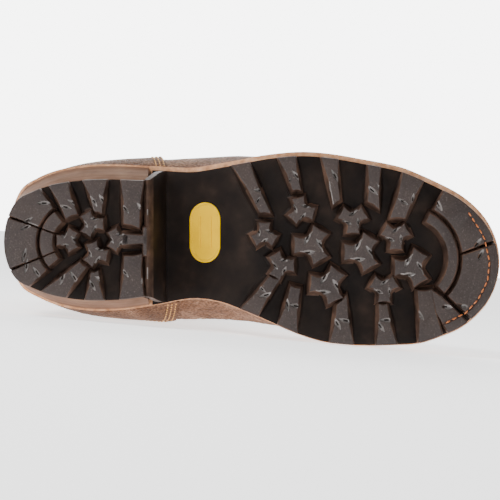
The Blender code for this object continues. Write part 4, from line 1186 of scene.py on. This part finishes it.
def makeShell():
    shell = skinPiece("upper_shown", 0.0, lastRow, 0.0, 1.0)
    shell.data.materials.append(upperLeather)
    shell.data.materials.append(liningLeather)
    # the flesh side faces in
    applyModifier(shell, "SOLIDIFY", thickness=boot["wall"], offset=-1.0, use_even_offset=True,
                  material_offset=1)
    roundEdges(shell, upper["rim"])
    cutWith(shell, holeCutter())
    smoothed(shell, 50)
    finishPiece(shell, ["vamp", "quarters"])


def overlayPiece(piece, replaced=(), thick=upper["overlay"], holes=False):
    # A panel laid on the skin: moved off it and given its own thickness and rounded cut edge
    applyModifier(piece, "DISPLACE", strength=upper["overlayLift"], mid_level=0.0)
    applyModifier(piece, "SOLIDIFY", thickness=thick, offset=1.0, use_even_offset=True)
    roundEdges(piece, upper["overlayRim"])
    if holes:
        cutWith(piece, holeCutter())
    smoothed(piece, 45)
    finishPiece(piece, replaced, [counterLeather])


def counterEdge():
    # A point of the counter's front edge and the way it faces
    return Vector((upper["counterFront"] * length, 0, midsoleTop(0))), Vector((1, -0.094, 0.16)).normalized()


def makeCounter():
    counter = skinPiece("counter_shown", 7.0, 20.5, 0.0, 0.92)
    cutAway(counter, *counterEdge())
    cutAway(counter, Vector((0, 0, upper["counterCrown"])), Vector((upper["counterSlope"], 0, 1)).normalized())
    cutAway(counter, Vector((0, 0, midsoleTop(0) + 0.0012)), Vector((0, 0, -1)))
    overlayPiece(counter, ["counter"])


def makeBackstay():
    # A strip up the back seam, from the counter's crown to the collar
    overlayPiece(skinPiece("backstay", 17.6, lastRow, 0.0, 0.16))


def makeCollar():
    # Binding, folded over the collar's edge on the real boot, here a strip laid on the outside of its top band
    overlayPiece(skinPiece("collar_binding", 22.35, lastRow, 0.0, 1.0), thick=0.0012)


def makeStays():
    for side, node in ((-1, "eyestay_lateral"), (1, "eyestay_medial")):
        stay = skinPiece(node + "_shown", 7.95, lastRow - 0.02, upper["stayFrom"], 1.0, rows=70, ring=14,
                         sides=(side,))
        overlayPiece(stay, [node], holes=True)


tongueSizes = {"clear": 0.0016, "half": 0.039, "wall": 0.003, "rim": 0.0008, "rise": 0.009,
               "rows": 60, "top": 4}


def makeTongue():
    under = -(boot["wall"] + tongueSizes["clear"])
    first = throatRow - 0.7
    rows, topRows = tongueSizes["rows"], tongueSizes["top"]

    def tonguePoint(u, v):
        step = v * (rows + topRows)
        place = min(first + (lastRow - first) * step / rows, lastRow)
        over = max(step - rows, 0.0) / topRows
        share = smoothStep((place - throatRow + 1.6) / 2.5)

        def turnAt(start, widest, fullness):
            half = min(tongueSizes["half"] * (0.55 + 0.45 * share), widest * 0.86)
            edge = pi - asin(half / widest)
            return edge + (pi - edge) * (1 - abs(2 * u - 1))

        point = onRing(place, turnAt, -1 if u < 0.5 else 1, under)
        ripple = 0.0007 * sin(place * 2.6 + 1.3) * (1 - abs(2 * u - 1) * 0.6)
        rise = tongueSizes["rise"] * over - 0.003 * over * abs(2 * u - 1) ** 2
        return point + Vector((-0.001 * over + ripple, 0, rise))

    tongue = gridPiece("tongue_shown", 20, rows + topRows, tonguePoint)
    facingOut(tongue)
    applyModifier(tongue, "SOLIDIFY", thickness=tongueSizes["wall"], offset=-1.0)
    roundEdges(tongue, tongueSizes["rim"])
    smoothed(tongue, 50)
    finishPiece(tongue, ["tongue"], [upperLeather])


def makeEyelets():
    profile = [(0.0042, 0.0021), (0.0040, 0.0025), (0.0035, 0.0028), (0.0029, 0.0028), (0.0024, 0.0025),
               (0.0022, 0.0020), (0.0022, -0.0026), (0.0026, -0.0032), (0.0034, -0.0033)]
    deselectAll()
    bpy.ops.mesh.primitive_grid_add(x_subdivisions=24, y_subdivisions=len(profile) - 1, size=2)
    ring = bpy.context.object
    for vertex in ring.data.vertices:
        turn = pi * (vertex.co.x + 1)
        radius, height = profile[int(round((vertex.co.y + 1) / 2 * (len(profile) - 1)))]
        vertex.co = Vector((radius * cos(turn), radius * sin(turn), height))
    tidyMesh(ring, 0.000002)
    applyModifier(ring, "SOLIDIFY", thickness=0.0004, offset=-1.0)
    for k, side, place, at, normal in eyelets:
        node = "eyelet_" + ("lateral_" if side < 0 else "medial_") + str(k + 1)
        copy = bpy.data.objects.new(node + "_shown", ring.data.copy())
        bpy.context.collection.objects.link(copy)
        copy.data.transform(turnedTo(at, normal))
        smoothed(copy, 60)
        finishPiece(copy, [node], [eyeletBrass])
    bpy.data.objects.remove(ring)


def sewn(points, lift=0.0001):
    # Stitch places along a run of points, each with the outward direction there
    spots = []
    walked = upper["stitch"] / 2
    for (a, outA), (b, outB) in zip(points, points[1:]):
        run = (b - a).length
        while walked < run:
            spot = a.lerp(b, walked / run) + outA * lift
            spots.append(stitchAt(spot, b - a, upper["stitch"], upper["thread"]))
            walked += upper["stitch"] + upper["stitchGap"]
        walked -= run
    return spots


def makeSeams():
    # Rows of lockstitch: the counter's edges, the stays, the collar and the vamp seam
    names = ("upper_shown", "counter_shown", "backstay", "collar_binding", "eyestay_lateral_shown",
             "eyestay_medial_shown")
    graph = bpy.context.evaluated_depsgraph_get()
    trees = [BVHTree.FromObject(bpy.data.objects[name], graph) for name in names]
    back = toWorld.inverted()

    def onSurface(outside, way):
        # The outermost skin met from outside, and the way it faces
        hits = [tree.ray_cast(toWorld @ outside, toWorld.to_3x3() @ way) for tree in trees]
        hits = [hit for hit in hits if hit[0]]
        if not hits:
            return None
        spot, normal = min(hits, key=lambda hit: hit[3])[:2]
        return back @ spot, (back.to_3x3() @ normal).normalized()

    def pressed(rays):
        return [found for found in (onSurface(*ray) for ray in rays) if found]

    def skinRay(place, share, side):
        outside = upperPoint(place, share, side, 0.02)
        return outside, upperPoint(place, share, side) - outside

    spots = []
    foot, lean = counterEdge()
    slope = upper["counterSlope"]
    for side in (-1, 1):
        across = Vector((0, -side, 0))
        for offset in (0.0022, 0.0048, 0.0074):
            rays = []
            for k in range(40):
                z = midsoleTop(0.09) + 0.001 + 0.085 * k / 39
                x = foot.x - offset - ((z - foot.z) * lean.z + side * 0.04 * lean.y) / lean.x
                if z > upper["counterCrown"] - slope * x - 0.004:
                    break
                rays.append((Vector((x, side * 0.09, z)), across))
            spots += sewn(pressed(rays))
        for offset in (0.0022, 0.0046):
            rays = []
            for k in range(60):
                x = 0.004 + (foot.x - 0.010) * k / 59
                rays.append((Vector((x, side * 0.09, upper["counterCrown"] - slope * x - offset)), across))
            spots += sewn(pressed(rays))
        for share in (upper["stayFrom"] + 0.014, upper["stayFrom"] + 0.038, 0.985):
            run = []
            for k in range(160):
                place = 8.05 + (lastRow - 8.2) * k / 159
                run.append((upperPoint(place, share, side), outwardAt(place, share, side, -0.02)))
            spots += sewn(run, upper["overlayLift"] + upper["overlay"] + 0.0001)
        spots += sewn(pressed([skinRay(22.5, 0.01 + 0.74 * k / 79, side) for k in range(80)]))
        for offset in (0.0, 0.0026):
            rays = []
            for k in range(60):
                share = 0.02 + 0.98 * k / 59
                rays.append(skinRay(throatRow + 0.05 + offset / 0.0155 - 0.10 * sin(pi * share), share, side))
            spots += sewn(pressed(rays))
    seams = crowd("seam_stitches", ballShape(6, 4), spots)
    smoothed(seams, 80)
    print("stitches on the upper:", len(spots))
    finishPiece(seams, materials=[goldThread])


def makeLaces():
    # Laced straight up: in at the bottom bar, out through each eyelet, across and under the other stay
    radius = boot["lace"] / 2
    above = 0.0003 + upper["overlay"] + 0.0009 + radius
    below = -(boot["wall"] + radius + 0.0002)
    spot = {(k, side): (place, at, normal) for k, side, place, at, normal in eyelets}

    def overTongue(placeA, placeB, sideA, lift, share):
        place = placeA + (placeB - placeA) * share
        edge = upperPoint(place, upper["eyeletStep"], 1)
        half = abs(edge.y - section(place)[1].y)
        reach = half * (1 - 2 * share) * sideA

        def turnAt(start, widest, fullness):
            return pi - asin(min(abs(reach) / widest, 1.0))

        return onRing(place, turnAt, 1 if reach > 0 else -1, lift)

    bar = [spot[(0, s)] for s in (-1, 1)]
    placeA = bar[0][0]
    run = [bar[0][1] + bar[0][2] * below, bar[0][1] + bar[0][2] * 0.001, bar[0][1] + bar[0][2] * above]
    run += [overTongue(placeA, placeA, -1, above, s) for s in (0.2, 0.4, 0.6, 0.8)]
    run += [bar[1][1] + bar[1][2] * above, bar[1][1] + bar[1][2] * 0.001, bar[1][1] + bar[1][2] * below]
    laces = [ropePiece("lace_bar_shown", smoothLine(run), radius)]
    finishPiece(laces[0], ["lace_bar"], [laceCord])
    for k in range(boot["eyeletPairs"] - 1):
        halves = []
        for side in (-1, 1):
            place, at, normal = spot[(k, side)]
            nextPlace, nextAt, nextNormal = spot[(k + 1, -side)]
            high = 0.0004 if side < 0 else 0.0024
            run = [at + normal * below, at + normal * 0.0012, at + normal * above]
            run.append(overTongue(place, nextPlace, side, above - 0.0006, 0.22))
            run += [overTongue(place, nextPlace, side, -0.0006 + high, s) for s in (0.38, 0.5, 0.62)]
            run.append(overTongue(place, nextPlace, side, below + 0.0008, 0.78))
            run += [nextAt + nextNormal * below + (at - nextAt).normalized() * 0.003,
                    nextAt + nextNormal * (below - 0.0002), nextAt + nextNormal * 0.0002]
            halves.append(ropePiece("lace_run", smoothLine(run), radius))
        cross = joined("lace_cross_" + str(k + 1) + "_shown", halves)
        finishPiece(cross, ["lace_cross_" + str(k + 1)], [laceCord])
    for side in (-1, 1):
        # the lace's two ends stop in the top eyelets, with a short knot's worth showing
        place, at, normal = spot[(boot["eyeletPairs"] - 1, side)]
        end = ropePiece("lace_end", smoothLine([at - normal * 0.003, at, at + normal * 0.0036]), radius)
        finishPiece(end, materials=[laceCord])


makeShell()
makeCounter()
makeBackstay()
makeCollar()
makeStays()
makeTongue()
makeEyelets()
print("upper made")
makeSeams()
makeLaces()
print("stitches and laces made")


# Floor and light

studio = {"key": 16.0, "fill": 2.2, "rim": 1.6, "low": 1.4, "room": 0.12, "wall": 6.5, "glow": 1.4}


def makeFloor():
    deselectAll()
    bpy.ops.mesh.primitive_plane_add(size=60)
    floor = bpy.context.object
    floor.name = "floor"
    paper, tree, shader, coords = newMaterial("paper_matte_white", {"Roughness": 0.9})
    shader.inputs["Base Color"].default_value = linear("#f7f7f7")
    shader.inputs["Emission Color"].default_value = (1, 1, 1, 1)
    shader.inputs["Emission Strength"].default_value = studio["glow"]
    floor.data.materials.append(paper)


def areaLight(name, spot, power, size):
    # Aimed at the middle of the boot, from a spot given in metres in the boot's frame
    deselectAll()
    bpy.ops.object.light_add(type="AREA", location=toWorld @ Vector(spot))
    light = bpy.context.object
    light.name = name
    light.data.energy, light.data.size = power, size
    aim = toWorld @ Vector((length / 2, 0, 0.05))
    light.rotation_euler = (aim - light.location).to_track_quat("-Z", "Y").to_euler()


def makeLight(c):
    world = bpy.data.worlds.new("studio") if not bpy.context.scene.world else bpy.context.scene.world
    bpy.context.scene.world = world
    world.use_nodes = True
    tree = world.node_tree
    back = tree.nodes["Background"]
    back.inputs["Color"].default_value = (1, 1, 1, 1)
    # bright wall behind the boot, dim room before it
    coords = addNode(tree, "ShaderNodeTexCoord")
    parts = addNode(tree, "ShaderNodeSeparateXYZ", links=[("Vector", coords, "Generated")])
    fade = addNode(tree, "ShaderNodeMapRange", {"From Min": 0.55, "From Max": 0.95, "To Min": c["room"],
                                                "To Max": c["wall"], "interpolation_type": "SMOOTHSTEP"},
                   [("Value", parts, "Y")])
    tree.links.new(fade.outputs["Result"], back.inputs["Strength"])
    areaLight("key", (-0.55, -1.0, -0.42), c["key"], 0.5)
    areaLight("fill", (0.9, -0.35, -1.0), c["fill"], 0.9)
    areaLight("rim", (0.2, -1.3, 0.5), c["rim"], 0.6)
    areaLight("low", (-0.1, 0.055, -0.9), c["low"], 0.12)


makeFloor()
makeLight(studio)
print("stage set")
